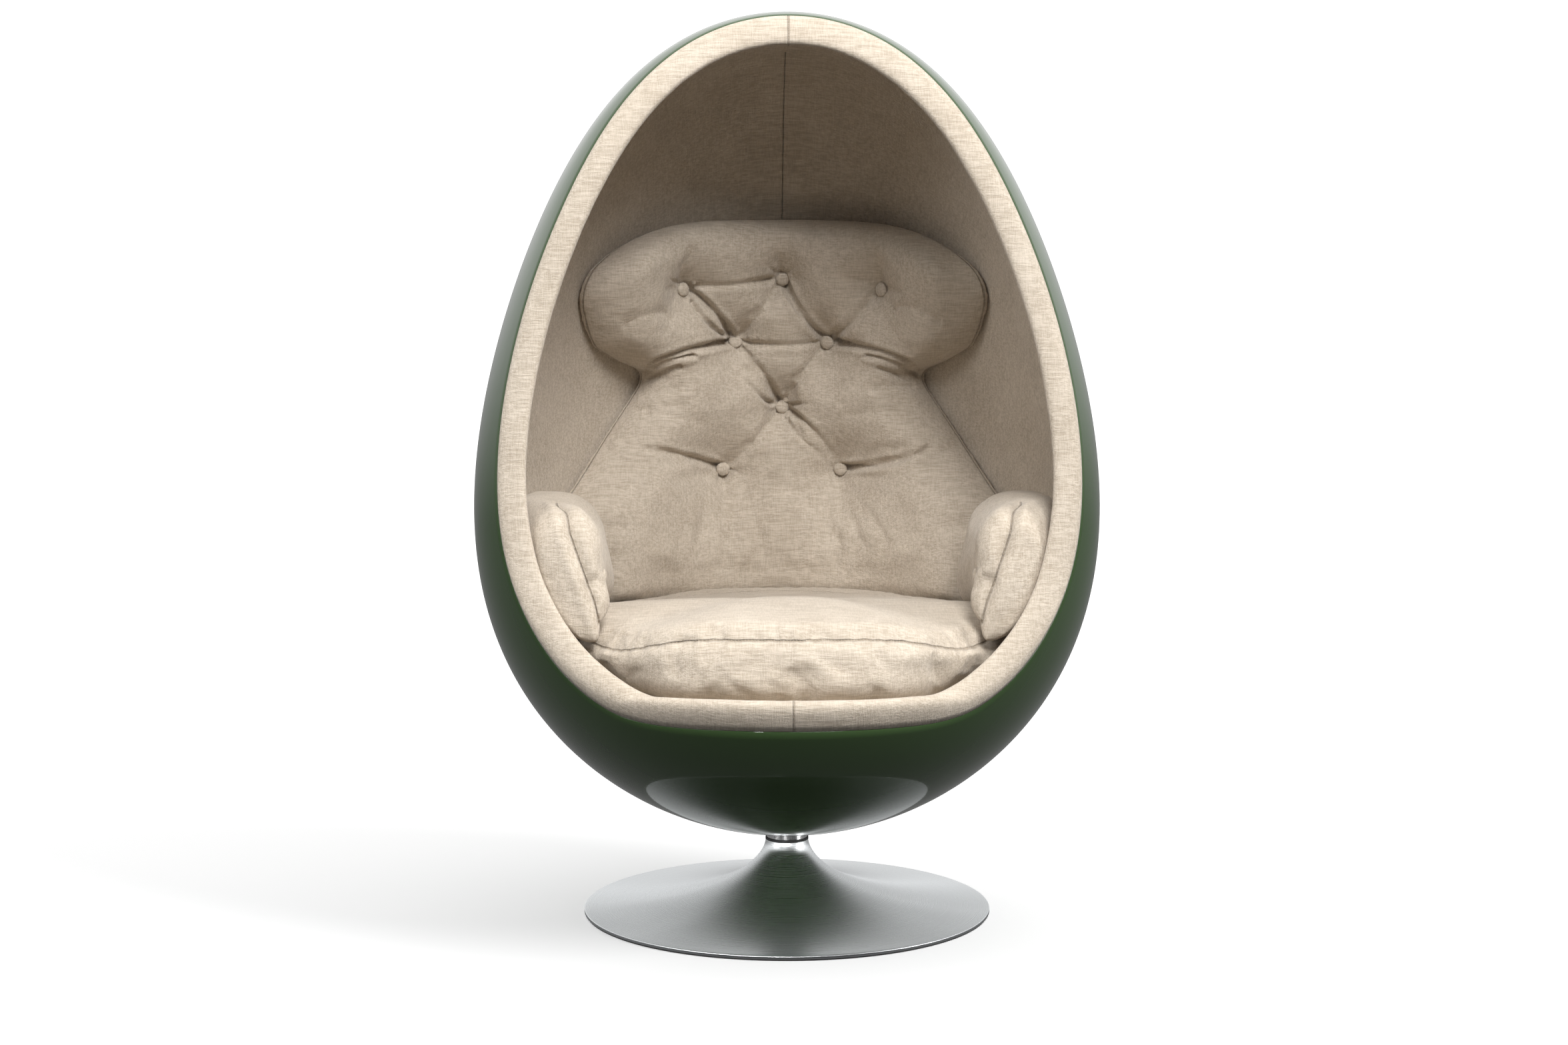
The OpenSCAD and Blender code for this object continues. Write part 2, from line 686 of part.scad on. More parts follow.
// Height of the seat cushion's top at a place in plan
function seat_top(x, y) = let (
    a = atan2(x, -y),
    share = norm([x, y]) / seat_plan(a),
    crown = lookup(share, concat([[0, 1]], [for (q = seat_top_shares) [q[0], q[2]]], [[1, 0]])),
    seam = seat_seam - seat_droop * at_corner(a) * min(1, share)
) deck_top + fit_gap + seat_sag(y) * (seam + crown * (seat_t - seat_seam));

module seat_cushion() {
    rows = concat(seat_top_shares, seat_side_shares);
    points = concat(
        [for (q = rows, i = [0:seat_a_n - 1]) seat_pt(360 * i / seat_a_n - 180, q)],
        [[0, 0, deck_top + fit_gap + seat_sag(0) * seat_t], [0, 0, deck_top + fit_gap]]
    );
    color(linen) polyhedron(points, concat(ring_faces(len(rows), seat_a_n, false), cap_faces(len(rows), seat_a_n)));
}

// Back cushion: v runs up its height and u across its half width
function back_half_w(v) = lookup(v, back_width_shares) * shell_w / 2;
function back_z(u, v) = back_bottom + v * back_h * (1 - back_crown_share * pow(u, 4) * v * v);
function back_wall_r(z) = wall_r(z, lining_in) - soft_gap;
// Rounding of the cushion towards an edge at distance e
function rounding(e) = let (f = 1 - min(1, e / back_round)) sqrt(max(0, 1 - f * f));
function button_x(b) = b[0] * shell_w / 2;
function button_z(b) = back_bottom + b[1] * back_h;
function dimple(d, w) = exp(-pow(2 * d / w, 2));
function line_distance(p, a, b) = let (ab = b - a, f = max(0, min(1, ((p - a) * ab) / (ab * ab)))) norm(p - a - f * ab);
spots = [for (b = button_shares) [button_x(b), button_z(b)]];
fold_spots = concat(spots, [for (b = fold_end_shares) [button_x(b), button_z(b)]]);
function back_pull(x, z) = let (p = [x, z])
    tuft_depth * max([for (s = spots) dimple(norm(p - s), tuft_w)])
    + fold_depth * max([for (f = fold_pairs) dimple(line_distance(p, fold_spots[f[0]], fold_spots[f[1]]), fold_w)]);
function back_thickness(u, v, x, z) = back_edge_t + (back_t - back_edge_t)
    * rounding((1 - abs(u)) * back_half_w(v)) * rounding(v * back_h) * rounding((1 - v) * back_h)
    - back_pull(x, z) * rounding((1 - abs(u)) * back_half_w(v));
// Point on the wall side (side 0) or on the sitter's side (side 1)
function back_pt(u, v, side) = let (
    x = u * back_half_w(v),
    z = back_z(u, v),
    wall = back_wall_r(z),
    turn = asin(clamp1(x / wall)),
    inset = side * back_thickness(u, v, x, z),
    r = wall - inset
) [r * sin(turn), r * cos(turn), z];

module back_cushion() {
    rows = [for (j = [0:back_v_n]) j / back_v_n];
    columns = [for (i = [0:back_u_n]) 1 - 2 * i / back_u_n];
    half = back_u_n + 1;
    points = [for (v = rows) each concat(
        [for (u = columns) back_pt(u, v, 1)],
        [for (i = [back_u_n:-1:0]) back_pt(columns[i], v, 0)]
    )];
    first = back_v_n * 2 * half;
    color(linen) polyhedron(points, concat(
        ring_faces(back_v_n + 1, 2 * half, false),
        [for (i = [0:back_u_n - 1]) each let (j = 2 * half - 1 - i) [
            [i, j, j - 1], [i, j - 1, i + 1],
            [first + i, first + j - 1, first + j], [first + i, first + i + 1, first + j - 1]
        ]]
    ));
}

// Covered button with a dome in front and a shallow cone behind, facing +X from its tip
module button() {
    back = button_d * button_back_share;
    steps = 6;
    rotate([0, 90, 0]) spun(concat(
        [[0, 0], [button_d / 2, back]],
        [for (i = [1:steps]) let (a = 90 * i / steps) [button_d / 2 * cos(a), back + button_h * sin(a)]]
    ));
}

// Grid cell that holds (u, v), and the point of the cushion's triangle there
function back_face_pt(u, v) = let (
    gu = (u + 1) / 2 * back_u_n,
    gv = v * back_v_n,
    i = min(back_u_n - 1, floor(gu)),
    j = min(back_v_n - 1, floor(gv)),
    fu = gu - i,
    fv = gv - j,
    a = back_pt(2 * i / back_u_n - 1, j / back_v_n, 1),
    b = back_pt(2 * (i + 1) / back_u_n - 1, j / back_v_n, 1),
    c = back_pt(2 * (i + 1) / back_u_n - 1, (j + 1) / back_v_n, 1),
    d = back_pt(2 * i / back_u_n - 1, (j + 1) / back_v_n, 1)
) fu + fv < 1 ? a + fu * (b - a) + fv * (d - a) : c + (1 - fu) * (d - c) + (1 - fv) * (b - c);

module back_buttons() {
    color(linen) for (b = button_shares) {
        x = button_x(b);
        v = b[1];
        p = back_face_pt(x / back_half_w(v), v);
        out = atan2(p[1], p[0]);
        translate(p) rotate([0, 0, out + 180]) translate([button_gap, 0, 0]) button();
    }
}

// Arm cushion on the +X side: s runs from its front to its back, a goes round its section
function arm_y(s, up) = mix(-arm_front - arm_lean * (0.5 - up), arm_l - arm_front, s);
// 0 at the two ends, rising to 1 along a quarter circle
function arm_swell(s) = let (f = 1 - min(1, min(s, 1 - s) * arm_l / arm_round)) sqrt(max(0, 1 - f * f));
function power_cos(a) = sign(cos(a)) * pow(abs(cos(a)), 2 / arm_power);
function power_sin(a) = sign(sin(a)) * pow(abs(sin(a)), 2 / arm_power);
function arm_wall(y, z) = sqrt(pow(wall_r(z, arm_in), 2) - y * y);
function arm_section(s, a) = let (
    swell = arm_swell(s),
    inner = power_cos(a) < 0 ? mix(arm_end_shares[0], 1, swell) : 1,
    f = (1 - power_cos(a) * inner) / 2,
    up = (1 + mix(arm_end_shares[sin(a) > 0 ? 1 : 2], 1, swell) * power_sin(a)) / 2,
    y = arm_y(s, up),
    foot = seat_top(arm_wall(y, deck_top + seat_seam), y),
    x = mix(arm_wall(y, mix(foot, arm_top, up)), arm_span / 2, f)
) [x, y, mix(seat_top(x, y) + soft_gap, arm_top, up)];
function arm_pt(s, a) = let (
    p = arm_section(s, a),
    fold = s < 0.5 ? arm_channel * dimple(p[0] - arm_channel_x, arm_channel_w) * (1 - arm_swell(s) / 2) : 0,
    d = norm([p[1] - arm_y(arm_button_y_share, 0.5), p[2] - arm_button_z]),
    pull = cos(a) < 0 ? arm_tuft_depth * dimple(d, arm_tuft_w) : 0
) p + [pull, fold, 0];
arm_channel_x = arm_span / 2 + arm_h * arm_channel_x_share;
arm_button_z = mix(deck_top + seat_t, arm_top, arm_button_z_share);
function arm_end_mid(s) = (arm_section(s, 0) + arm_section(s, 180)) / 2;

module arm_cushion() {
    points = concat(
        [for (j = [0:arm_s_n], i = [0:arm_a_n - 1]) arm_pt(j / arm_s_n, 360 * i / arm_a_n)],
        [arm_end_mid(0), arm_end_mid(1)]
    );
    color(linen) polyhedron(points, concat(ring_faces(arm_s_n + 1, arm_a_n, false), cap_faces(arm_s_n + 1, arm_a_n)));
}

module arm_cushion_right() { arm_cushion(); }
module arm_cushion_left() { mirror([1, 0, 0]) arm_cushion(); }

module arm_buttons() {
    s = round(arm_button_y_share * arm_s_n) / arm_s_n;
    p = (arm_pt(s, 180) + arm_pt(s, 180 + 360 / arm_a_n)) / 2;
    color(linen) for (side = [0, 1]) mirror([side, 0, 0])
        translate(p - [button_gap, 0, 0]) rotate([0, 0, 180]) button();
}

floor_pad();
bottom_plate();
ballast_disc();
column();
column_screws();
base_trumpet();
neck_ring();
lower_bush();
upper_bush();
lower_race();
thrust_balls();
ball_cage();
upper_race();
spindle();
spindle_washer();
snap_ring();
neck_collar();
spindle_flange();
flange_bolts();
flange_washers();
tee_nuts();
mounting_block();
outer_shell();
rim_batten();
rim_padding();
lining_foam();
lining_fabric();
seat_deck();
deck_cleats();
deck_screws();
seat_cushion();
back_cushion();
back_buttons();
arm_cushion_left();
arm_cushion_right();
arm_buttons();
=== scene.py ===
# Pod chair: the looks of an egg-shaped lounge chair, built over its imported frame.
# Metres. +Z is up, the sitter faces -Y, and the origin is on the floor at the swivel axis.

import json
import math

import bmesh
import bpy
import numpy as np
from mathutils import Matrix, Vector
from mathutils.bvhtree import BVHTree

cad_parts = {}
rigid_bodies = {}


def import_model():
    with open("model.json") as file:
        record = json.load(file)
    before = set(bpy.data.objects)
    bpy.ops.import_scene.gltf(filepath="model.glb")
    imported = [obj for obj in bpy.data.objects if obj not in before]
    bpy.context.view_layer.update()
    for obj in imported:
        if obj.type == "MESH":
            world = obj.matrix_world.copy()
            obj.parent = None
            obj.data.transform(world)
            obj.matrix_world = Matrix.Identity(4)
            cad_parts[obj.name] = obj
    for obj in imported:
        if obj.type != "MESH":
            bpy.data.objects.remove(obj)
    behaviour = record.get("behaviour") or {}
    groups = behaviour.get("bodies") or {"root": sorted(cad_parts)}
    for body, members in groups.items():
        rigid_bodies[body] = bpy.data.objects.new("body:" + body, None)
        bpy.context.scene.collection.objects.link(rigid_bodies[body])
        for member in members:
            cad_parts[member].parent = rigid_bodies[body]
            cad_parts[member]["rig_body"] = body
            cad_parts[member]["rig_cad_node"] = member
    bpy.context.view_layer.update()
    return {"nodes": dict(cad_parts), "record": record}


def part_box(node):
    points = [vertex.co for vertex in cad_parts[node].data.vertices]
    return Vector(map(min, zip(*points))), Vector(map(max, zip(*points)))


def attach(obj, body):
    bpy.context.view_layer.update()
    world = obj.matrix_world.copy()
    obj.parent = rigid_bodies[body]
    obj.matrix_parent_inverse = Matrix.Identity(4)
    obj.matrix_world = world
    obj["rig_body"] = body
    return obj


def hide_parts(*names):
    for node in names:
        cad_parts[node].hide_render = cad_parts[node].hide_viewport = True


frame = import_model()
nodes = frame["nodes"]
scene = bpy.context.scene
MM = 0.001

# The photograph's frame and what was measured in it
PHOTO_W = 2352
CAMERA_DISTANCE = 3.580
CAMERA_HEIGHT = 0.8903
CAMERA_PITCH = 0.0929
CAMERA_FOCAL_PX = 3804.9
CAMERA_SHIFT_PX = 4.4
CHAIR_YAW = 0.024

# The egg, from the frame: its lowest point is where the collar meets it
EGG_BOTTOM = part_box("neck_collar")[1].z + 0.3 * MM
EGG_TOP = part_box("outer_shell")[1].z
EGG_MID = (EGG_BOTTOM + EGG_TOP) / 2
EGG_B = (EGG_TOP - EGG_BOTTOM) / 2
BELLY = 0.440
EGG_A = BELLY * 0.979
EGG_SHARES = (-0.204, 0.061, 0.099)
SHELL_H = EGG_TOP - EGG_BOTTOM
WALL = 5 * MM
DECK_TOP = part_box("seat_deck")[1].z
LINING_DEPTH = 30 * MM
RIM_DEPTH = 34 * MM
RIM_BACK = 20 * MM
RIM_PROUD = 9 * MM
LIP_PROUD = 40 * MM
LIP_SHARES = (0.12, 0.97)

# Colours of the finishes
LINEN_LIGHT = (0.64, 0.565, 0.475)
LINEN_DARK = (0.33, 0.272, 0.205)
GREEN_DARK = (0.035, 0.064, 0.023)
GREEN_LIGHT = (0.043, 0.077, 0.029)
DISC_DARK = (0.63, 0.65, 0.66)
DISC_LIGHT = (0.71, 0.73, 0.74)
BIRCH_DARK = (0.36, 0.22, 0.10)
BIRCH_LIGHT = (0.62, 0.44, 0.25)
BIRCH_GLUE = (0.30, 0.18, 0.08)
FOAM_DARK = (0.55, 0.47, 0.28)
FOAM_LIGHT = (0.82, 0.75, 0.52)

# Sewing: half widths of a seam's groove and of its thread, and the length of a stitch
GROOVE = 2.2 * MM
THREAD = 1.2 * MM
STITCH = 4.5 * MM

# Side view of the mouth's edge: share of the half width forwards, share of the height up
MOUTH_SHARES = np.array([
    [0.170, 1.018], [0.262, 0.900], [0.327, 0.780], [0.370, 0.632], [0.425, 0.485], [0.490, 0.364],
    [0.573, 0.267], [0.648, 0.206], [0.723, 0.183], [0.865, 0.179], [1.020, 0.179],
])


# Egg and mouth

def egg_profile(depth):
    """Radius and height of the egg's layer at a depth, from its top to its bottom."""
    t = np.linspace(0, math.pi, 2400)
    c = np.cos(t)
    form = 1 + EGG_SHARES[0] * c + EGG_SHARES[1] * c ** 2 + EGG_SHARES[2] * c ** 3
    r, z = EGG_A * np.sin(t) * form, EGG_MID + EGG_B * c
    dr, dz = np.gradient(r, t), np.gradient(z, t)
    size = np.hypot(dr, dz)
    return r + depth * dz / size, z - depth * dr / size


def wall_r(z, depth):
    """Radius of the egg's layer at a height."""
    r, h = egg_profile(depth)
    return np.interp(z, h[::-1], r[::-1])


def spline(points, s):
    """Smooth curve through points, at s knots from the first."""
    last = len(points) - 1
    i = np.clip(np.floor(s).astype(int), 0, last - 1)
    f = (s - i)[:, None]
    a, b = points[i], points[i + 1]
    before, after = points[np.maximum(i - 1, 0)], points[np.minimum(i + 2, last)]
    ta = (b - before) / np.where(i > 0, 2, 1)[:, None]
    tb = (after - a) / np.where(i + 2 <= last, 2, 1)[:, None]
    return (a * (2 * f ** 3 - 3 * f ** 2 + 1) + ta * (f ** 3 - 2 * f ** 2 + f)
            + b * (3 * f ** 2 - 2 * f ** 3) + tb * (f ** 3 - f ** 2))


def mouth(s, back):
    """Side view (y, z) of the mouth's edge at knots s, moved back into the shell."""
    def at(k):
        p = spline(MOUTH_SHARES, k)
        return np.stack([-p[:, 0] * BELLY, EGG_BOTTOM + p[:, 1] * SHELL_H], 1)
    step = 0.1
    along = at(s + step) - at(s - step)
    along /= np.linalg.norm(along, axis=1)[:, None]
    return at(s) + np.reshape(back, (-1, 1)) * np.stack([-along[:, 1], along[:, 0]], 1)


def smooth_step(x, low, high):
    f = np.clip((x - low) / (high - low), 0, 1)
    return f * f * (3 - 2 * f)


def rim_reach(a):
    """How far the padded rim stands forwards, at angle a round the mouth from its crown."""
    return RIM_PROUD + (LIP_PROUD - RIM_PROUD) * smooth_step(-np.cos(a), *LIP_SHARES)


def mouth_loop(n, depth, forward=0.0, reach_share=0.0):
    """Closed line round the mouth at a depth in the wall, moved forwards of its edge."""
    a = 2 * math.pi * (np.arange(n) + 0.5) / n
    r, h = egg_profile(depth)

    def room(s, angle):
        p = mouth(np.array([s]), -forward - reach_share * rim_reach(angle))
        return float(np.interp(p[0, 1], h[::-1], r[::-1]) + p[0, 0])

    def crossing(lo, hi, angle):
        start = room(lo, angle) > 0
        for _ in range(30):
            m = (lo + hi) / 2
            lo, hi = (m, hi) if (room(m, angle) > 0) == start else (lo, m)
        return lo

    knots = len(MOUTH_SHARES) - 1
    crown = crossing(0.0, 1.0, 0.0)
    lip = crossing(knots - 3.0, float(knots), math.pi)
    p = mouth((crown + lip) / 2 - np.cos(a) * (lip - crown) / 2, -forward - reach_share * rim_reach(a))
    x2 = np.interp(p[:, 1], h[::-1], r[::-1]) ** 2 - p[:, 0] ** 2
    x = np.sign(np.sin(a)) * np.sqrt(np.maximum(x2, 0))
    return np.stack([x, p[:, 0], p[:, 1]], 1)


# Mesh building

def make_piece(name, points, faces, smooth=True):
    mesh = bpy.data.meshes.new(name)
    mesh.from_pydata([tuple(p) for p in points], [], faces)
    mesh.validate()
    mesh.update()
    if smooth:
        mesh.shade_smooth()
    piece = bpy.data.objects.new(name, mesh)
    scene.collection.objects.link(piece)
    return piece


def grid_faces(rows, columns, wrap_rows=False):
    """Quads of rows that each close on themselves."""
    faces = []
    for i in range(rows if wrap_rows else rows - 1):
        k = (i + 1) % rows
        for j in range(columns):
            m = (j + 1) % columns
            faces.append((i * columns + j, i * columns + m, k * columns + m, k * columns + j))
    return faces


def spun(name, profile, n):
    """Solid of revolution through a closed profile of (radius, height)."""
    profile = np.array(profile)
    a = 2 * math.pi * np.arange(n) / n
    rings = [np.stack([r * np.cos(a), r * np.sin(a), np.full(n, z)], 1) for r, z in profile]
    return make_piece(name, np.concatenate(rings), grid_faces(len(profile), n, True))


def attribute(piece, name, values):
    """Number on each vertex that a finish reads."""
    layer = piece.data.attributes.new(name, "FLOAT", "POINT")
    layer.data.foreach_set("value", np.asarray(values, dtype=np.float32))


def vertices(piece):
    co = np.empty(len(piece.data.vertices) * 3, dtype=np.float32)
    piece.data.vertices.foreach_get("co", co)
    return co.reshape(-1, 3).astype(float)


def normals(piece):
    no = np.empty(len(piece.data.vertices) * 3, dtype=np.float32)
    piece.data.vertex_normals.foreach_get("vector", no)
    return no.reshape(-1, 3).astype(float)


def move_vertices(piece, points):
    piece.data.vertices.foreach_set("co", np.asarray(points, dtype=np.float32).ravel())
    piece.data.update()


def apply_modifier(piece, kind, **settings):
    m = piece.modifiers.new(kind.lower(), kind)
    for key, value in settings.items():
        setattr(m, key, value)
    bpy.context.view_layer.objects.active = piece
    bpy.ops.object.modifier_apply(modifier=m.name)


def wave_noise(p, size, seed):
    """Soft unevenness between -1 and 1, from a few crossing waves of about the given size."""
    rng = np.random.default_rng(seed)
    total = np.zeros(len(p))
    waves, gain = 7, 1.6
    for _ in range(waves):
        way = rng.normal(size=3)
        way /= np.linalg.norm(way)
        total += np.sin(p @ way * 2 * math.pi / (size * rng.uniform(0.7, 1.5)) + rng.uniform(0, 2 * math.pi))
    return total / waves * gain


# Finishes

class Value:
    """Socket of a finish, with the arithmetic that adds its nodes."""

    def __init__(self, finish, socket):
        self.finish = finish
        self.socket = socket

    def math(self, operation, *others):
        return self.finish.node("ShaderNodeMath", {"operation": operation}, (self, *others))

    def __add__(self, other):
        return self.math("ADD", other)

    def __sub__(self, other):
        return self.math("SUBTRACT", other)

    def __mul__(self, other):
        return self.math("MULTIPLY", other)

    def __abs__(self):
        return self.math("ABSOLUTE")

    def sine(self):
        return self.math("SINE")

    def power(self, other):
        return self.math("POWER", other)

    def band(self, width):
        """1 on zero, fading smoothly to 0 at a distance of width."""
        return abs(self).ramp(0.0, width, 1.0, 0.0)

    def ramp(self, low, high, out_low=0.0, out_high=1.0):
        return self.finish.node(
            "ShaderNodeMapRange", {"interpolation_type": "SMOOTHSTEP"},
            {"Value": self, "From Min": low, "From Max": high, "To Min": out_low, "To Max": out_high})


class Finish:
    """Material under construction: its shader and the nodes that feed it."""

    def __init__(self, name, **constants):
        self.material = bpy.data.materials.new(name)
        self.material.use_nodes = True
        self.tree = self.material.node_tree
        self.shader = self.tree.nodes["Principled BSDF"]
        self.set(**constants)
        self.place = self.node("ShaderNodeTexCoord", {}, {}, "Object")

    def node(self, kind, settings, inputs, output=0):
        made = self.tree.nodes.new(kind)
        for key, value in settings.items():
            setattr(made, key, value)
        pairs = inputs.items() if isinstance(inputs, dict) else enumerate(inputs)
        for key, value in pairs:
            self.feed(made.inputs[key], value)
        return Value(self, made.outputs[output])

    def feed(self, socket, value):
        if isinstance(value, Value):
            self.tree.links.new(value.socket, socket)
        elif socket.type == "RGBA":
            socket.default_value = (*value, 1.0)
        else:
            socket.default_value = value

    def set(self, **inputs):
        for key, value in inputs.items():
            self.feed(self.shader.inputs[key.replace("_", " ")], value)
        return self

    def stretched(self, x, y, z):
        """Object place multiplied along each axis."""
        return self.node("ShaderNodeVectorMath", {"operation": "MULTIPLY"}, (self.place, (x, y, z)))

    def noise(self, vector, scale, detail=2.0, roughness=0.5):
        return self.node("ShaderNodeTexNoise", {}, {
            "Vector": vector, "Scale": scale, "Detail": detail, "Roughness": roughness}, "Fac")

    def mix(self, factor, a, b):
        return self.node("ShaderNodeMix", {"data_type": "RGBA"}, {0: factor, 6: a, 7: b}, 2)

    def part(self, vector, axis):
        return self.node("ShaderNodeSeparateXYZ", {}, {0: vector}, axis)

    def on_vertex(self, name):
        return self.node("ShaderNodeAttribute", {"attribute_name": name}, {}, "Fac")

    def bump(self, height, distance):
        """Raises the surface by height times distance, in metres."""
        self.set(Normal=self.node("ShaderNodeBump", {}, {"Height": height, "Distance": distance}))
        return self


def linen(name, seam=None):
    """Cream linen with uneven yarns, a soft nap and, where a seam runs, its groove, darkened with painted
    shade, and its stitches.
    """
    f = Finish(name, Roughness=0.92, Sheen_Weight=0.2, Sheen_Roughness=0.5, Specular_IOR_Level=0.2)
    slub = f.noise(f.stretched(26, 330, 330), 1.0, 2.0, 0.6)
    weft = f.noise(f.stretched(80, 850, 850), 1.0, 2.0, 0.6)
    warp = f.noise(f.stretched(620, 70, 70), 1.0, 3.0, 0.65)
    weave = f.noise(f.place, 1100.0, 1.0, 0.5)
    nap = f.noise(f.place, 14.0, 4.0, 0.6)
    yarns = slub.ramp(0.36, 0.66) * 0.4 + weft.ramp(0.34, 0.66) * 0.3 + warp.ramp(0.36, 0.66) * 0.3
    shade = yarns * 0.72 + weave * 0.14 + nap.ramp(0.3, 0.7) * 0.14
    height = yarns + weave * 0.6
    if seam:
        across, along = f.on_vertex(seam), f.on_vertex(seam + "_run")
        groove = across.band(GROOVE)
        stitch = (along * (2 * math.pi / STITCH)).sine().ramp(-0.2, 0.4) * across.band(THREAD)
        height = height - groove * 5.0 + stitch * 1.6
        # Painted shade: the seam's groove is coloured darker, as if shade lay in it.
        shade = shade - groove * 0.45
    f.set(Base_Color=f.mix(shade, LINEN_DARK, LINEN_LIGHT))
    return f.bump(height, 0.00045).material


def gel_coat():
    """Deep green gloss with the faint waviness of a moulded surface."""
    f = Finish("green_gel_coat", Specular_IOR_Level=0.1, Coat_Weight=0.42, Coat_Roughness=0.03, Coat_IOR=1.45)
    cloud = f.noise(f.place, 3.0, 2.0)
    fine = f.noise(f.place, 260.0, 3.0)
    f.set(Base_Color=f.mix(cloud, GREEN_DARK, GREEN_LIGHT))
    f.set(Roughness=fine.ramp(0.3, 0.8, 0.08, 0.16))
    peel = f.noise(f.place, 38.0, 1.0)
    return f.bump(peel, 0.00015).material


def brushed_disc():
    """Satin steel, brushed in rings about the swivel axis."""
    f = Finish("brushed_disc", Metallic=1.0, Anisotropic=0.9)
    x, y = f.part(f.place, 0), f.part(f.place, 1)
    radius = (x * x + y * y).power(0.5)
    rings = f.node("ShaderNodeTexNoise", {"noise_dimensions": "1D"}, {
        "W": radius * 900.0, "Scale": 1.0, "Detail": 4.0, "Roughness": 0.7}, "Fac")
    smear = f.noise(f.place, 6.0, 2.0)
    f.set(Base_Color=f.mix(rings.ramp(0.3, 0.7), DISC_DARK, DISC_LIGHT))
    f.set(Roughness=rings.ramp(0.25, 0.75, 0.23, 0.3) + smear * 0.05)
    return f.bump(rings, 0.00002).material


def metal(name, colour, roughness):
    """Plain metal with faint upright tool marks."""
    f = Finish(name, Metallic=1.0)
    marks = f.noise(f.stretched(400, 400, 50), 1.0, 3.0)
    f.set(Base_Color=f.mix(marks, tuple(c * 0.85 for c in colour), colour))
    f.set(Roughness=marks.ramp(0.3, 0.7, roughness * 0.8, roughness * 1.25))
    return f.bump(marks, 0.00003).material


def moulded(name, colour, roughness):
    """Rubber or nylon with a fine grain."""
    f = Finish(name)
    grain = f.noise(f.place, 900.0, 3.0)
    f.set(Base_Color=f.mix(grain, tuple(c * 0.8 for c in colour), colour))
    f.set(Roughness=grain.ramp(0.3, 0.7, roughness - 0.08, roughness + 0.08))
    return f.bump(grain, 0.0001).material


def plywood():
    """Birch face grain, with the plies showing at the edges."""
    f = Finish("birch_plywood", Roughness=0.6)
    plies = (f.part(f.place, 2) * (2 * math.pi / 0.0028)).sine().ramp(-0.3, 0.3)
    grain = f.noise(f.stretched(14, 160, 160), 1.0, 4.0)
    wood = f.mix(grain, BIRCH_DARK, BIRCH_LIGHT)
    f.set(Base_Color=f.mix(plies * 0.35, wood, BIRCH_GLUE))
    return f.bump(grain, 0.0002).material


def open_foam():
    f = Finish("lining_foam", Roughness=0.95)
    cells = f.node("ShaderNodeTexVoronoi", {}, {"Vector": f.place, "Scale": 700.0}, "Distance")
    # Painted shade: each cell is coloured darker towards its middle, where the bump sinks it into a pore.
    f.set(Base_Color=f.mix(cells, FOAM_DARK, FOAM_LIGHT))
    return f.bump(cells, 0.0006).material


def dress(piece, material):
    piece.data.materials.clear()
    piece.data.materials.append(material)
    return piece


def settle(piece, body, slot, material, *replaced):
    """Gives a piece its finish and its body, and hides the frame nodes that it stands for."""
    dress(piece, material)
    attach(piece, body)
    if replaced:
        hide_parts(*replaced)
    return piece


# Shell and lining: rings from the mouth to a pole at the middle of the back

POLE = np.array([0.0, 1.0, 0.0])
HEART = np.array([0.0, 0.0, 0.69])


def cast(directions, depth, floor=None):
    """Where rays from the heart of the egg meet its layer at a depth, or the deck if that comes first."""
    r, z = egg_profile(depth)
    level = np.hypot(directions[:, 0], directions[:, 1])
    tilt = np.arctan2(directions[:, 2], level)
    table = np.arctan2(z - HEART[2], r)
    size = np.interp(tilt, table[::-1], np.hypot(r, z - HEART[2])[::-1])
    if floor is not None:
        down = np.minimum(directions[:, 2], -1e-6)
        size = np.minimum(size, (floor - HEART[2]) / down)
    return HEART + directions * size[:, None]


def towards_pole(edge, share):
    """Directions from the heart, turned from an edge loop towards the pole."""
    way = edge - HEART
    way /= np.linalg.norm(way, axis=1)[:, None]
    angle = np.arccos(np.clip(way @ POLE, -1, 1))[:, None]
    return (np.sin((1 - share) * angle) * way + np.sin(share * angle) * POLE) / np.sin(angle)


def bowl(edge, rows, depth, floor=None, power=1.0):
    """Rings of points from an edge loop to near the pole, in the egg's layer at a depth."""
    shares = np.linspace(0, 1, rows + 1)[:-1] ** power
    return [cast(towards_pole(edge, s), depth, floor) for s in shares]


def close_pole(faces, first, columns, pole, inward):
    for j in range(columns):
        k = (j + 1) % columns
        faces.append((first + k, first + j, pole) if inward else (first + j, first + k, pole))


def outer_shell():
    columns, rows = 320, 84
    edge = mouth_loop(columns, 0.0)
    outside = bowl(edge, rows, 0.0)
    soft = 0.8 * MM
    lip_out = mouth_loop(columns, soft, 0.0)
    lip_in = mouth_loop(columns, WALL - soft, 0.0)
    start_out = bowl(mouth_loop(columns, 0.0, -soft), 1, 0.0)[0]
    inside = bowl(mouth_loop(columns, WALL, -soft), rows // 2, WALL)
    rings = [*outside[:0:-1], start_out, lip_out, lip_in, *inside]
    points = np.concatenate([*rings, [cast(POLE[None], 0.0)[0], cast(POLE[None], WALL)[0]]])
    faces = grid_faces(len(rings), columns)
    close_pole(faces, 0, columns, len(points) - 2, True)
    close_pole(faces, (len(rings) - 1) * columns, columns, len(points) - 1, False)
    return make_piece("shell_moulding", points, faces)


def rounded(loop, reach):
    """Closed line with its corners rounded over a reach."""
    step = np.linalg.norm(loop - np.roll(loop, 1, axis=0), axis=1).mean()
    turns = int(3 * reach / step)
    shifts = np.arange(-turns, turns + 1)
    weights = np.exp(-0.5 * (shifts * step / reach) ** 2)
    weights /= weights.sum()
    return sum(w * np.roll(loop, k, axis=0) for k, w in zip(shifts, weights))


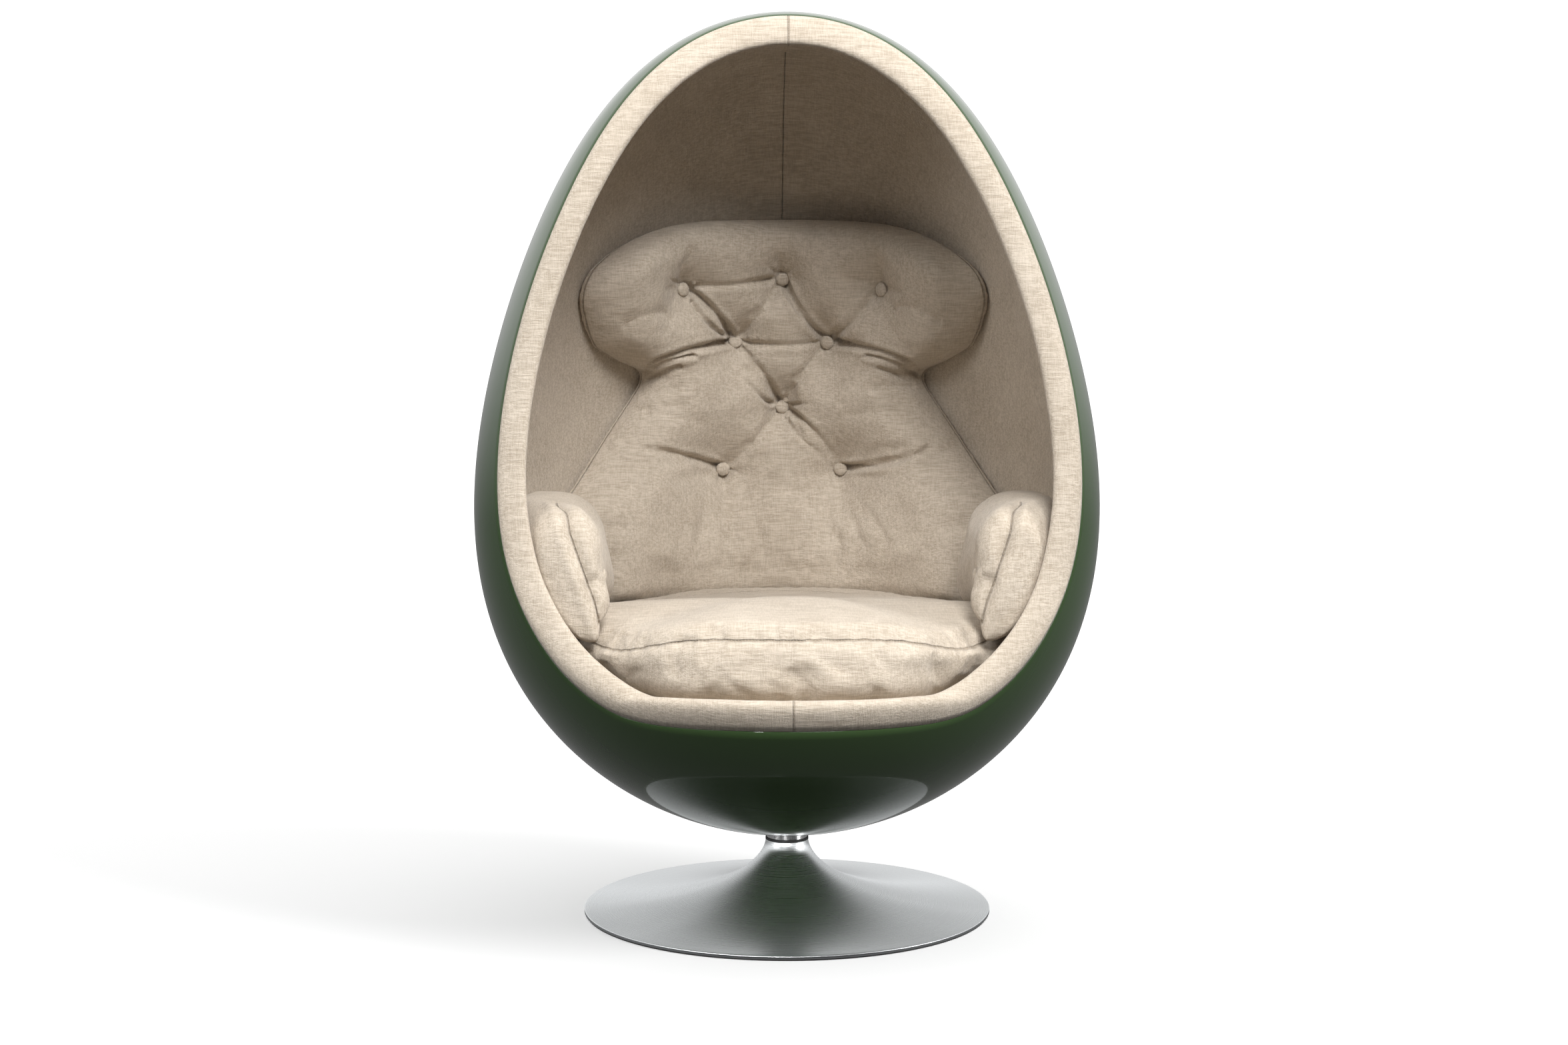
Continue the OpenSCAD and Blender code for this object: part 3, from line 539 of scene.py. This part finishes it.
def rim_roll():
    """Padded roll round the mouth: tight over the shell's edge, full in front, easing back inside."""
    columns, turns = 420, 26
    top = 0.3 * MM
    past_wall = 5.9 * MM
    lines = [mouth_loop(columns, past_wall, -RIM_BACK), mouth_loop(columns, past_wall, top),
             mouth_loop(columns, top, top)]
    covered = len(lines)
    middle, half = (RIM_DEPTH + top) / 2, (RIM_DEPTH - top) / 2
    for k in range(1, turns + 1):
        b = math.pi * k / turns
        bulge = max(math.sin(b), 0) ** 0.72
        depth = middle - half * math.copysign(abs(math.cos(b)) ** 0.85, math.cos(b))
        back = (RIM_BACK + 2 * MM) * (1 - bulge) if b > math.pi / 2 else 0.0
        lines.append(mouth_loop(columns, depth, -back, bulge))
    lines.append(mouth_loop(columns, RIM_DEPTH - 6 * MM, -RIM_BACK - 3 * MM))
    for k, line in enumerate(lines[covered:]):
        ease = smooth_step(np.array(k / turns), 0.15, 0.6)
        line += (rounded(line, 52 * MM) - line) * ease
    piece = make_piece("rim_roll", np.concatenate(lines), grid_faces(len(lines), columns, True))
    p, n = vertices(piece), normals(piece)
    shown = np.repeat(np.clip((np.arange(len(lines)) - covered) / 4, 0, 1), columns)
    uneven = wave_noise(p, 0.11, 3) * 0.7 * MM + wave_noise(p, 0.035, 4) * 0.25 * MM
    seam = np.exp(-np.abs(p[:, 0]) / (3.0 * MM)) * 1.1 * MM
    move_vertices(piece, p + n * ((uneven - seam) * shown)[:, None])
    # Across the rim's seam: the linen sinks its groove here and darkens it with painted shade.
    attribute(piece, "seam", p[:, 0])
    attribute(piece, "seam_run", p[:, 1] + p[:, 2])
    return piece


def lining_cloth():
    """Cloth over the inside of the shell and over the deck, with a band behind the rim."""
    columns, rows = 320, 110
    edge = mouth_loop(columns, LINING_DEPTH, -RIM_BACK + 2 * MM)
    floor = DECK_TOP + 0.15 * MM
    low = edge[:, 2] < floor
    level = np.hypot(edge[:, 0], edge[:, 1])
    inner = wall_r(floor, RIM_DEPTH - 3 * MM)
    edge[low, :2] *= (inner / level[low])[:, None]
    edge[low, 2] = floor
    rings = bowl(edge, rows, LINING_DEPTH, floor, 1.25)
    points = np.concatenate([*rings, cast(POLE[None], LINING_DEPTH)])
    faces = grid_faces(rows, columns)
    close_pole(faces, (rows - 1) * columns, columns, len(points) - 1, False)
    piece = make_piece("lining_cloth", points, faces)
    band = 55 * MM
    run = np.zeros(len(points))
    behind = np.zeros(len(points))
    for i in range(1, rows):
        here = slice(i * columns, (i + 1) * columns)
        before = slice((i - 1) * columns, i * columns)
        behind[here] = behind[before] + np.linalg.norm(points[here] - points[before], axis=1)
    behind[-1] = behind[-2]
    run[:-1] = np.tile(np.arange(columns) * 9 * MM, rows)
    across = np.where(behind < 3 * band, behind - band, 2 * points[:, 0])
    # Across the band seam and the centre back seam: the linen darkens their groove with painted shade.
    attribute(piece, "seam", across)
    attribute(piece, "seam_run", run)
    p, n = vertices(piece), normals(piece)
    wall = smooth_step(p[:, 2], floor + 2 * MM, floor + 60 * MM)
    inwards = -np.sign(np.einsum("ij,ij->i", n, p - HEART))
    soft = wave_noise(p, 0.22, 8) * 1.4 * MM + wave_noise(p, 0.07, 9) * 0.45 * MM
    soft -= np.exp(-((behind - band) / (5 * MM)) ** 2) * 1.5 * MM
    soft -= np.exp(-(p[:, 0] / (5 * MM)) ** 2) * 1.2 * MM * (p[:, 1] > 0)
    move_vertices(piece, p + n * (inwards * soft * wall * (behind > 1 * MM))[:, None])
    return piece


# Cushions: each starts from its solid in the frame, is plumped by cloth under pressure, then sewn

CLOTH_FRAMES = 16


def relax(piece, rounds):
    apply_modifier(piece, "SMOOTH", factor=0.5, iterations=rounds)


def plump(node, name, voxel, shrink, cap, held=None):
    """Copies a cushion's solid, draws it in, and lets cloth under pressure fill it again."""
    piece = nodes[node].copy()
    piece.data = nodes[node].data.copy()
    piece.name = piece.data.name = name
    piece.parent = None
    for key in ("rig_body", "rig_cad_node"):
        if key in piece:
            del piece[key]
    scene.collection.objects.link(piece)
    apply_modifier(piece, "REMESH", mode="VOXEL", voxel_size=voxel)
    relax(piece, 12)
    start = vertices(piece)
    move_vertices(piece, start - normals(piece) * shrink)
    slack = vertices(piece)
    if held is not None:
        group = piece.vertex_groups.new(name="held")
        for i in np.nonzero(held(start))[0]:
            group.add([int(i)], 1.0, "REPLACE")
    cloth = piece.modifiers.new("cloth", "CLOTH")
    cloth.settings.use_pressure = True
    cloth.settings.uniform_pressure_force = 4
    cloth.settings.quality = 5
    cloth.settings.mass = 0.3
    cloth.settings.effector_weights.gravity = 0
    cloth.settings.bending_stiffness = 0.6
    cloth.settings.shrink_min = -0.01
    if held is not None:
        cloth.settings.vertex_group_mass = "held"
    for step in range(1, CLOTH_FRAMES + 1):
        scene.frame_set(step)
    filled = piece.evaluated_get(bpy.context.evaluated_depsgraph_get())
    co = np.empty(len(filled.data.vertices) * 3, dtype=np.float32)
    filled.data.vertices.foreach_get("co", co)
    piece.modifiers.clear()
    move = co.reshape(-1, 3) - slack
    far = np.linalg.norm(move, axis=1)
    move *= (np.minimum(far, cap) / np.maximum(far, 1e-9))[:, None]
    move_vertices(piece, slack + move)
    scene.frame_set(1)
    relax(piece, 3)
    apply_modifier(piece, "SUBSURF", levels=1)
    piece.data.shade_smooth()
    return piece


def bowed_gap(p, a, b, bow):
    """Distance of points in a plane from a bowed line, and how far along it they lie from 0 to 1."""
    length = np.linalg.norm(b - a)
    way = (b - a) / length
    along = (p - a) @ way / length
    f = np.clip(along, 0, 1)
    aside = (p - a) @ np.array([-way[1], way[0]]) - bow * 4 * f * (1 - f)
    return np.hypot(aside, (along - f) * length), f


def crease(gap, f, first, last, width):
    """Sharp fold along a line, from its first depth to its last, slacker half way."""
    fade = smooth_step(f, 0.0, 0.06) * smooth_step(1 - f, 0.0, 0.1) * (1 - 0.4 * np.sin(math.pi * f))
    lips = 0.34 * np.exp(-((gap - 2.4 * width) / (1.2 * width)) ** 2)
    return (first + (last - first) * f) * (1.4 * np.exp(-gap / width) - lips) * fade


def button_places(node):
    """Centre of each button in a node of the frame, from the highest down and from left to right."""
    bm = bmesh.new()
    bm.from_mesh(nodes[node].data)
    bmesh.ops.remove_doubles(bm, verts=bm.verts, dist=1e-6)
    seen, places = set(), []
    for v in bm.verts:
        if v in seen:
            continue
        heap, part = [v], []
        seen.add(v)
        while heap:
            w = heap.pop()
            part.append(w.co.copy())
            for e in w.link_edges:
                o = e.other_vert(w)
                if o not in seen:
                    seen.add(o)
                    heap.append(o)
        low = Vector(map(min, *part))
        high = Vector(map(max, *part))
        places.append((low + high) / 2)
    bm.free()
    return sorted(places, key=lambda c: (round(-c.z, 2), c.x))


# Folds of the back cushion: from (x, z) to (x, z), first and last depth, width and bow, in millimetres
BACK_FOLDS = [
    ((-148, 890), (0, 903), 2.5, 4, 4, -5), ((-148, 890), (-71, 806), 7, 8, 4, 7),
    ((-138, 872), (-80, 812), 5, 5, 3, -7), ((0, 903), (-71, 806), 2, 4, 6, 4),
    ((0, 903), (71, 806), 8, 5, 4, -9), ((148, 890), (71, 806), 3, 5, 5, 4),
    ((-71, 806), (71, 806), 4, 3, 4, -6), ((-46, 778), (0, 705), 1, 8, 4, 3),
    ((-64, 757), (-8, 706), 0, 6, 3, -4), ((-71, 806), (-46, 778), 5, 2, 4, 0),
    ((71, 806), (0, 705), 3, 4, 5, -4), ((0, 705), (-90, 609), 3, 2, 6, 5),
    ((0, 705), (84, 622), 6, 1, 4, 8), ((6, 690), (50, 640), 5, 1, 3, -5),
    ((-71, 806), (-215, 764), 8, 5, 4, -7), ((71, 806), (219, 760), 8, 5, 4, 8),
    ((-128, 786), (-228, 752), 5, 4, 3, -5), ((120, 786), (226, 742), 5, 4, 3, 7),
    ((-150, 770), (-226, 736), 3, 4, 4, -4), ((140, 766), (224, 726), 3, 3, 4, 5),
    ((-90, 609), (-214, 646), 6, 2, 4, -5), ((90, 609), (232, 650), 7, 3, 4, -6),
    ((-90, 609), (-93, 498), 4, 0, 6, 3), ((90, 609), (94, 505), 2, 0, 7, -3),
    ((0, 903), (-4, 942), 4, 0, 4, 2), ((0, 903), (-30, 925), 4, 0, 3, 0),
    ((0, 903), (26, 928), 2, 0, 3, 0), ((-148, 890), (-154, 925), 3, 0, 4, 2),
    ((-148, 890), (-172, 902), 3, 0, 3, 0), ((148, 890), (144, 924), 3, 0, 4, 2),
    ((148, 890), (176, 878), 2, 0, 4, 0), ((0, 705), (52, 710), 5, 0, 3, 2),
    ((0, 705), (-44, 728), 3, 0, 3, 0), ((0, 705), (4, 660), 4, 0, 3, 2),
    ((-71, 806), (-28, 798), 4, 0, 3, 0), ((-71, 806), (-84, 842), 4, 0, 3, 3),
    ((71, 806), (92, 838), 3, 0, 3, 3), ((-90, 609), (-60, 600), 3, 0, 3, 0),
    ((90, 609), (124, 600), 3, 0, 3, 0), ((-222, 722), (-140, 738), 3, 1, 6, 4),
    ((206, 738), (120, 732), 3, 1, 6, -4), ((-214, 698), (-110, 678), 2, 1, 9, 6),
    ((178, 700), (96, 690), 2, 1, 8, -5), ((166, 860), (236, 830), 2, 2, 8, 8),
    ((-170, 850), (-240, 826), 2, 2, 8, -8),
]
FOLD_GAIN = 1.7


def back_cushion():
    spots = np.array([(c.x, c.z) for c in button_places("back_buttons")])

    def held(p):
        """Where the cushion is tied: at its buttons and along the lining."""
        gap = np.min([np.hypot(p[:, 0] - x, p[:, 2] - z) for x, z in spots], axis=0)
        behind = np.hypot(p[:, 0], p[:, 1]) > wall_r(p[:, 2], LINING_DEPTH) - 12 * MM
        return (gap < 13 * MM) | behind

    piece = plump("back_cushion", "back_pillow", 5 * MM, 3 * MM, 14 * MM, held)
    p, n = vertices(piece), normals(piece)
    xz = p[:, [0, 2]]
    out = np.hypot(p[:, 0], p[:, 1])
    towards = -(n[:, 0] * p[:, 0] + n[:, 1] * p[:, 1]) / out
    front = smooth_step(towards, 0.0, 0.5)
    pull = np.zeros(len(p))
    for a, b, first, last, width, bow in BACK_FOLDS:
        gap, f = bowed_gap(xz, np.array(a) * MM, np.array(b) * MM, bow * MM)
        fold = crease(gap, f, first * FOLD_GAIN * MM, last * FOLD_GAIN * MM, width * MM)
        pull = np.where(np.abs(fold) > np.abs(pull), fold, pull)
    for x, z in spots:
        gap = np.hypot(p[:, 0] - x, p[:, 2] - z)
        around = np.arctan2(p[:, 2] - z, p[:, 0] - x)
        pull += 5 * MM * np.exp(-(gap / (16 * MM)) ** 2)
        pull += np.cos(around * 9 + x * 60) * 1.3 * MM * np.exp(-gap / (12 * MM))
    pull += wave_noise(p * np.array([1.0, 1.0, 2.4]), 0.06, 12) * 0.5 * MM
    low = p[:, 2].min()
    full = 13 * MM * (1 - smooth_step(p[:, 2], low + 6 * MM, low + 55 * MM)) * smooth_step(towards, -0.2, 0.3)
    move_vertices(piece, p + n * (full - pull * front)[:, None])
    rest = vertices(piece)
    edge = np.hypot(rest[:, 0], rest[:, 1]) - wall_r(rest[:, 2], LINING_DEPTH) + 12 * MM
    # Across the cushion's edge by the lining: the linen darkens a groove here with painted shade.
    attribute(piece, "seam", edge)
    attribute(piece, "seam_run", rest[:, 2] + np.abs(rest[:, 0]))
    return piece


# Height of the seat's seam over the deck and its droop at the front corners, in millimetres
SEAT_SEAM = 83
SEAT_SEAM_DROOP = 22


def seat_cushion():
    piece = plump("seat_cushion", "seat_pillow", 6 * MM, 3 * MM, 12 * MM)
    p, n = vertices(piece), normals(piece)
    a = np.arctan2(p[:, 0], -p[:, 1])
    corner = np.where(np.cos(a) > 0, np.sin(2 * np.abs(a)) ** 8, 0)
    seam_z = DECK_TOP + (SEAT_SEAM - SEAT_SEAM_DROOP * corner) * MM
    across = p[:, 2] - seam_z
    out = np.hypot(p[:, 0], p[:, 1])
    side = smooth_step(out, 0.22, 0.28)
    pinch = 5 * MM * np.exp(-np.abs(across) / (9 * MM)) * side
    pucker = np.sin(a * 95 + 2 * np.sin(a * 17)) * np.exp(-np.abs(across) / (14 * MM)) * 0.7 * MM * side
    soft = wave_noise(p, 0.16, 21) * 1.2 * MM
    outwards = np.stack([p[:, 0], p[:, 1], np.zeros(len(p))], 1) / np.maximum(out, 1e-6)[:, None]
    full = 9 * MM * (1 - smooth_step(p[:, 2], DECK_TOP + 12 * MM, DECK_TOP + 50 * MM)) * side
    rear = 7 * MM * smooth_step(p[:, 1], 0.24, 0.30) * smooth_step(n[:, 2], -0.2, 0.4)
    move_vertices(piece, p + outwards * (full - pinch)[:, None] + n * (pucker + soft * side + rear)[:, None])
    # Across the seat's seam: the linen darkens its groove with painted shade.
    attribute(piece, "seam", across + (1 - side) * 0.05)
    attribute(piece, "seam_run", a * 0.34)
    return piece


def arm_button_place(side):
    """Centre of the button on the arm at a side, -1 or 1."""
    return [c for c in button_places("arm_buttons") if c.x * side > 0][0]


# How far an arm's top leans away from the sitter, in millimetres
ARM_LEAN = 26

# Sewn channel on each arm's front: height and distance from the middle, in millimetres
ARM_CHANNEL = np.array([[425, 244], [455, 251], [500, 262], [530, 274], [565, 285], [600, 292]])


def arm_cushion(side, node, name):
    piece = plump(node, name, 5 * MM, 2 * MM, 10 * MM)
    p, n = vertices(piece), normals(piece)
    x = np.abs(p[:, 0])
    gap = x - np.interp(p[:, 2], ARM_CHANNEL[:, 0] * MM, ARM_CHANNEL[:, 1] * MM)
    front = smooth_step(p[:, 1], -0.10, -0.16)
    groove = np.exp(-np.abs(gap) / (7 * MM)) * 9
    lips = np.exp(-((np.abs(gap) - 20 * MM) / (11 * MM)) ** 2) * 3
    channel = (groove - lips) * MM
    soft = wave_noise(p, 0.09, 31) * 1.2 * MM + wave_noise(p, 0.03, 32) * 0.4 * MM
    place = arm_button_place(side)
    inner = smooth_step(-n[:, 0] * side, 0.2, 0.7)
    reach = np.hypot(p[:, 1] - place.y, p[:, 2] - place.z)
    around = np.arctan2(p[:, 2] - place.z, p[:, 1] - place.y)
    pull = 9 * MM * np.exp(-(reach / (32 * MM)) ** 2)
    pull += (1 + np.cos(around * 7)) * 1.4 * MM * np.exp(-reach / (26 * MM))
    room = wall_r(p[:, 2], LINING_DEPTH) - np.hypot(p[:, 0], p[:, 1])
    behind = 0.45 + 0.55 * smooth_step(p[:, 1], -0.19, -0.12)
    p[:, 0] += side * ARM_LEAN * MM * smooth_step(p[:, 2], 0.42, 0.54) * smooth_step(room, 0.0, 0.09) * behind
    move_vertices(piece, p + n * (soft - channel * front - pull * inner)[:, None])
    # Across the channel on the arm's front: the linen darkens its groove with painted shade.
    attribute(piece, "seam", np.where(p[:, 1] < -0.12, gap, np.copysign(0.05, gap)))
    attribute(piece, "seam_run", p[:, 2])
    return piece


def covered_button(name, place, towards):
    """Dome of cloth over a metal form, with the pleats of its edge."""
    radius, dome, n = 10.5 * MM, 5 * MM, 48
    rings = []
    for k in range(13):
        b = math.pi / 2 * k / 12
        rings.append((radius * math.cos(b), dome * math.sin(b)))
    profile = [(radius * 0.25, -9 * MM), (radius * 0.8, -4 * MM), (radius * 0.98, -1.4 * MM), *rings[:-1],
               (radius * 0.02, dome)]
    piece = spun(name, profile, n)
    p = vertices(piece)
    a = np.arctan2(p[:, 1], p[:, 0])
    out = np.hypot(p[:, 0], p[:, 1]) / radius
    pleat = 1 + 0.018 * np.sin(a * 14) * smooth_step(out, 0.6, 1.0)
    p[:, :2] *= pleat[:, None]
    way = Vector(towards).normalized()
    turn = way.to_track_quat("Z", "Y")
    move_vertices(piece, np.array([place + turn @ Vector(q) for q in p]))
    return piece


def back_buttons(cushion):
    """Sits each button on the back cushion, facing the swivel axis and a little the way the cloth does."""
    tree = BVHTree.FromObject(cushion, bpy.context.evaluated_depsgraph_get())
    made = []
    for i, c in enumerate(button_places("back_buttons")):
        way = Vector((-c.x, -c.y, 0)).normalized()
        hit, normal, _, _ = tree.ray_cast(c + way * 0.12, -way)
        face = way * 0.6 + normal * 0.4 if hit else way
        place = (hit or c) + face.normalized() * 4.5 * MM
        made.append(covered_button(f"back_button_{i + 1}", place, face))
    return made


def arm_button(side, name, cushion):
    """Sits a button on an arm's inner side."""
    tree = BVHTree.FromObject(cushion, bpy.context.evaluated_depsgraph_get())
    way = Vector((-side, 0, 0))
    centre = arm_button_place(side)
    hit = tree.ray_cast(centre + way * 0.08, -way)[0] or centre
    return covered_button(name, hit + way * 1.0 * MM, way)


# Base

def trumpet():
    """Spun base: a flare from the neck to the floor, with a turned-down edge."""
    low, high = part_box("base_trumpet")
    radius, skin = high.x, 1.5 * MM
    neck, neck_top = 30.55 * MM, high.z
    edge = 6.5 * MM
    shares = np.array([[0, 1], [0.01, 0.64], [0.27, 0.04], [1, 0]])
    t = np.linspace(0, 1, 90)[:, None]
    u = 1 - t
    b = u ** 3 * shares[0] + 3 * u * u * t * shares[1] + 3 * u * t * t * shares[2] + t ** 3 * shares[3]
    bend = 1.0 * MM
    flare = np.stack([neck + b[:, 0] * (radius - bend - neck), edge + b[:, 1] * (neck_top - edge)], 1)
    turn = [(radius - bend + bend * math.sin(q), edge - bend * (1 - math.cos(q)))
            for q in np.linspace(0.2, math.pi / 2, 6)]
    under = [(r - skin * 0.3, z - skin) for r, z in flare[::-6]]
    profile = [(neck - 4 * MM, neck_top), *[tuple(q) for q in flare], *turn, (radius, low.z),
               (radius - skin, low.z), (radius - skin, edge - skin), *under, (neck - 4 * MM, neck_top - skin)]
    return spun("trumpet_base", profile, 320)


# Assembly

cloth = linen("cream_linen", seam="seam")
plain_cloth = linen("cream_linen_buttons")

settle(outer_shell(), "pod", "shell_gloss", gel_coat(), "outer_shell")
settle(rim_roll(), "pod", "upholstery", cloth, "rim_padding")
settle(lining_cloth(), "pod", "upholstery", cloth, "lining_fabric")
back = back_cushion()
settle(back, "pod", "upholstery", cloth, "back_cushion")
settle(seat_cushion(), "pod", "upholstery", cloth, "seat_cushion")
arms = {}
for label, side in (("left", -1), ("right", 1)):
    node = f"arm_cushion_{label}"
    arms[side] = arm_cushion(side, node, f"arm_pillow_{label}")
    settle(arms[side], "pod", "upholstery", cloth, node)

for made in back_buttons(back):
    settle(made, "pod", "upholstery", plain_cloth, "back_buttons")
for side, label in ((-1, "left"), (1, "right")):
    made = arm_button(side, f"arm_button_{label}", arms[side])
    settle(made, "pod", "upholstery", plain_cloth, "arm_buttons")

settle(trumpet(), "base", "brushed_base", brushed_disc(), "base_trumpet")

steel = metal("plain_steel", (0.42, 0.43, 0.44), 0.35)
bronze = metal("sintered_bronze", (0.55, 0.36, 0.16), 0.5)
polished = metal("polished_collar", (0.86, 0.86, 0.86), 0.22)
rubber = moulded("black_rubber", (0.02, 0.02, 0.02), 0.6)
nylon = moulded("natural_nylon", (0.70, 0.68, 0.60), 0.45)
birch = plywood()
foam = open_foam()
by_slot = {"plain_steel": steel, "bronze_bush": bronze, "polished_collar": polished, "black_rubber": rubber,
           "nylon_cage": nylon, "plywood": birch, "lining_foam": foam}
for entry in frame["record"]["subparts"]:
    if entry["material_slot"] in by_slot:
        dress(nodes[entry["node"]], by_slot[entry["material_slot"]])


# Studio

def spare(light, pieces):
    """Keeps a light off some pieces; where these are the floor and the dome, it throws no shadow there."""
    spared = bpy.data.collections.new(light.name + "_spares")
    for piece in pieces:
        spared.objects.link(piece)
    light.light_linking.receiver_collection = spared
    for entry in spared.collection_objects:
        entry.light_linking.link_state = "EXCLUDE"


def sun_light(name, way, strength, angle):
    data = bpy.data.lights.new(name, "SUN")
    data.energy = strength
    data.angle = angle
    light = bpy.data.objects.new(name, data)
    light.rotation_euler = Vector(way).to_track_quat("Z", "Y").to_euler()
    light.visible_glossy = False
    scene.collection.objects.link(light)


def area_light(name, place, aim, size, power):
    data = bpy.data.lights.new(name, "AREA")
    data.shape = "RECTANGLE"
    data.size, data.size_y = size
    data.energy = power
    light = bpy.data.objects.new(name, data)
    light.location = place
    light.rotation_euler = (Vector(aim) - Vector(place)).to_track_quat("-Z", "Y").to_euler()
    scene.collection.objects.link(light)
    return light


def backdrop(piece, glow, shade):
    """Stage piece that the camera sees white, and that throws no light back on the chair."""
    f = Finish(piece.name, Roughness=0.9, Emission_Color=(1.0, 1.0, 1.0), Emission_Strength=glow)
    tone = f.noise(f.place, 2.0)
    f.set(Base_Color=f.mix(tone, (shade,) * 3, (shade * 0.99,) * 3))
    dress(piece, f.material)
    piece.visible_glossy = piece.visible_diffuse = False
    return piece


def studio_world():
    """White room light: dim below the horizon and dim behind the camera."""
    world = bpy.data.worlds.new("studio_world")
    world.use_nodes = True
    tree = world.node_tree
    place = tree.nodes.new("ShaderNodeTexCoord")
    split = tree.nodes.new("ShaderNodeSeparateXYZ")
    tree.links.new(place.outputs["Generated"], split.inputs[0])
    shares = tree.nodes.new("ShaderNodeMath")
    shares.operation = "MULTIPLY"
    for i, (axis, low, high, dim) in enumerate((("Z", -0.12, 0.25, 0.2), ("Y", -0.75, 0.0, 0.3))):
        share = tree.nodes.new("ShaderNodeMapRange")
        share.interpolation_type = "SMOOTHSTEP"
        for socket, value in (("From Min", low), ("From Max", high), ("To Min", dim), ("To Max", 1.0)):
            share.inputs[socket].default_value = value
        tree.links.new(split.outputs[axis], share.inputs["Value"])
        tree.links.new(share.outputs["Result"], shares.inputs[i])
    tree.links.new(shares.outputs[0], tree.nodes["Background"].inputs["Strength"])
    tree.nodes["Background"].inputs["Color"].default_value = (1, 1, 1, 1)
    scene.world = world


def studio():
    half = 60.0
    corners = [(-half, -half, 0), (half, -half, 0), (half, half, 0), (-half, half, 0)]
    ground = backdrop(make_piece("studio_floor", corners, [(0, 1, 2, 3)], False), 0.34, 0.85)
    arc = np.linspace(0, 1.5, 12)
    skins = [(size * math.cos(a), size * math.sin(a) - 2)
             for size, way in ((55, 1), (56, -1)) for a in arc[::way]]
    dome = spun("studio_dome", skins, 48)
    dome.visible_shadow = False
    backdrop(dome, 1.1, 0.5)
    studio_world()
    stage = (ground, dome)
    front = area_light("front_softbox", (0.75, -3.2, 3.5), (0, 0, 0.6), (1.5, 1.5), 205)
    spare(front, (*stage, bpy.data.objects["trumpet_base"]))
    spare(area_light("left_softbox", (-2.3, -2.4, 3.0), (0, 0, 0.6), (1.4, 1.4), 55), stage)
    for name, place, aim, size, power in (
            ("right_strip", (2.4, -0.9, 0.55), (0.3, 0, 0.45), (0.6, 1.9), 34),
            ("left_strip", (-2.3, -1.5, 0.55), (-0.3, 0, 0.45), (0.4, 1.6), 16),
            ("low_strip", (-0.7, -3.2, 0.45), (0, 0, 0.3), (0.2, 0.9), 60)):
        strip = area_light(name, place, aim, size, power)
        strip.visible_diffuse = False
        spare(strip, stage)
    sun_light("side_sun", (0.80, -0.32, 0.62), 1.6, 0.42)


def photo_camera():
    data = bpy.data.cameras.new("photo_camera")
    data.sensor_fit = "HORIZONTAL"
    data.sensor_width = 36.0
    data.lens = CAMERA_FOCAL_PX * data.sensor_width / PHOTO_W
    data.shift_x = -CAMERA_SHIFT_PX / PHOTO_W
    camera = bpy.data.objects.new("photo_camera", data)
    away = Vector((math.sin(-CHAIR_YAW), -math.cos(-CHAIR_YAW), 0)) * CAMERA_DISTANCE
    camera.location = away + Vector((0, 0, CAMERA_HEIGHT))
    way = Vector((-away.x, -away.y, 0)).normalized()
    way.z = -math.tan(CAMERA_PITCH)
    camera.rotation_euler = way.to_track_quat("-Z", "Y").to_euler()
    scene.collection.objects.link(camera)
    scene.camera = camera


studio()
photo_camera()
scene.view_settings.view_transform = "Standard"
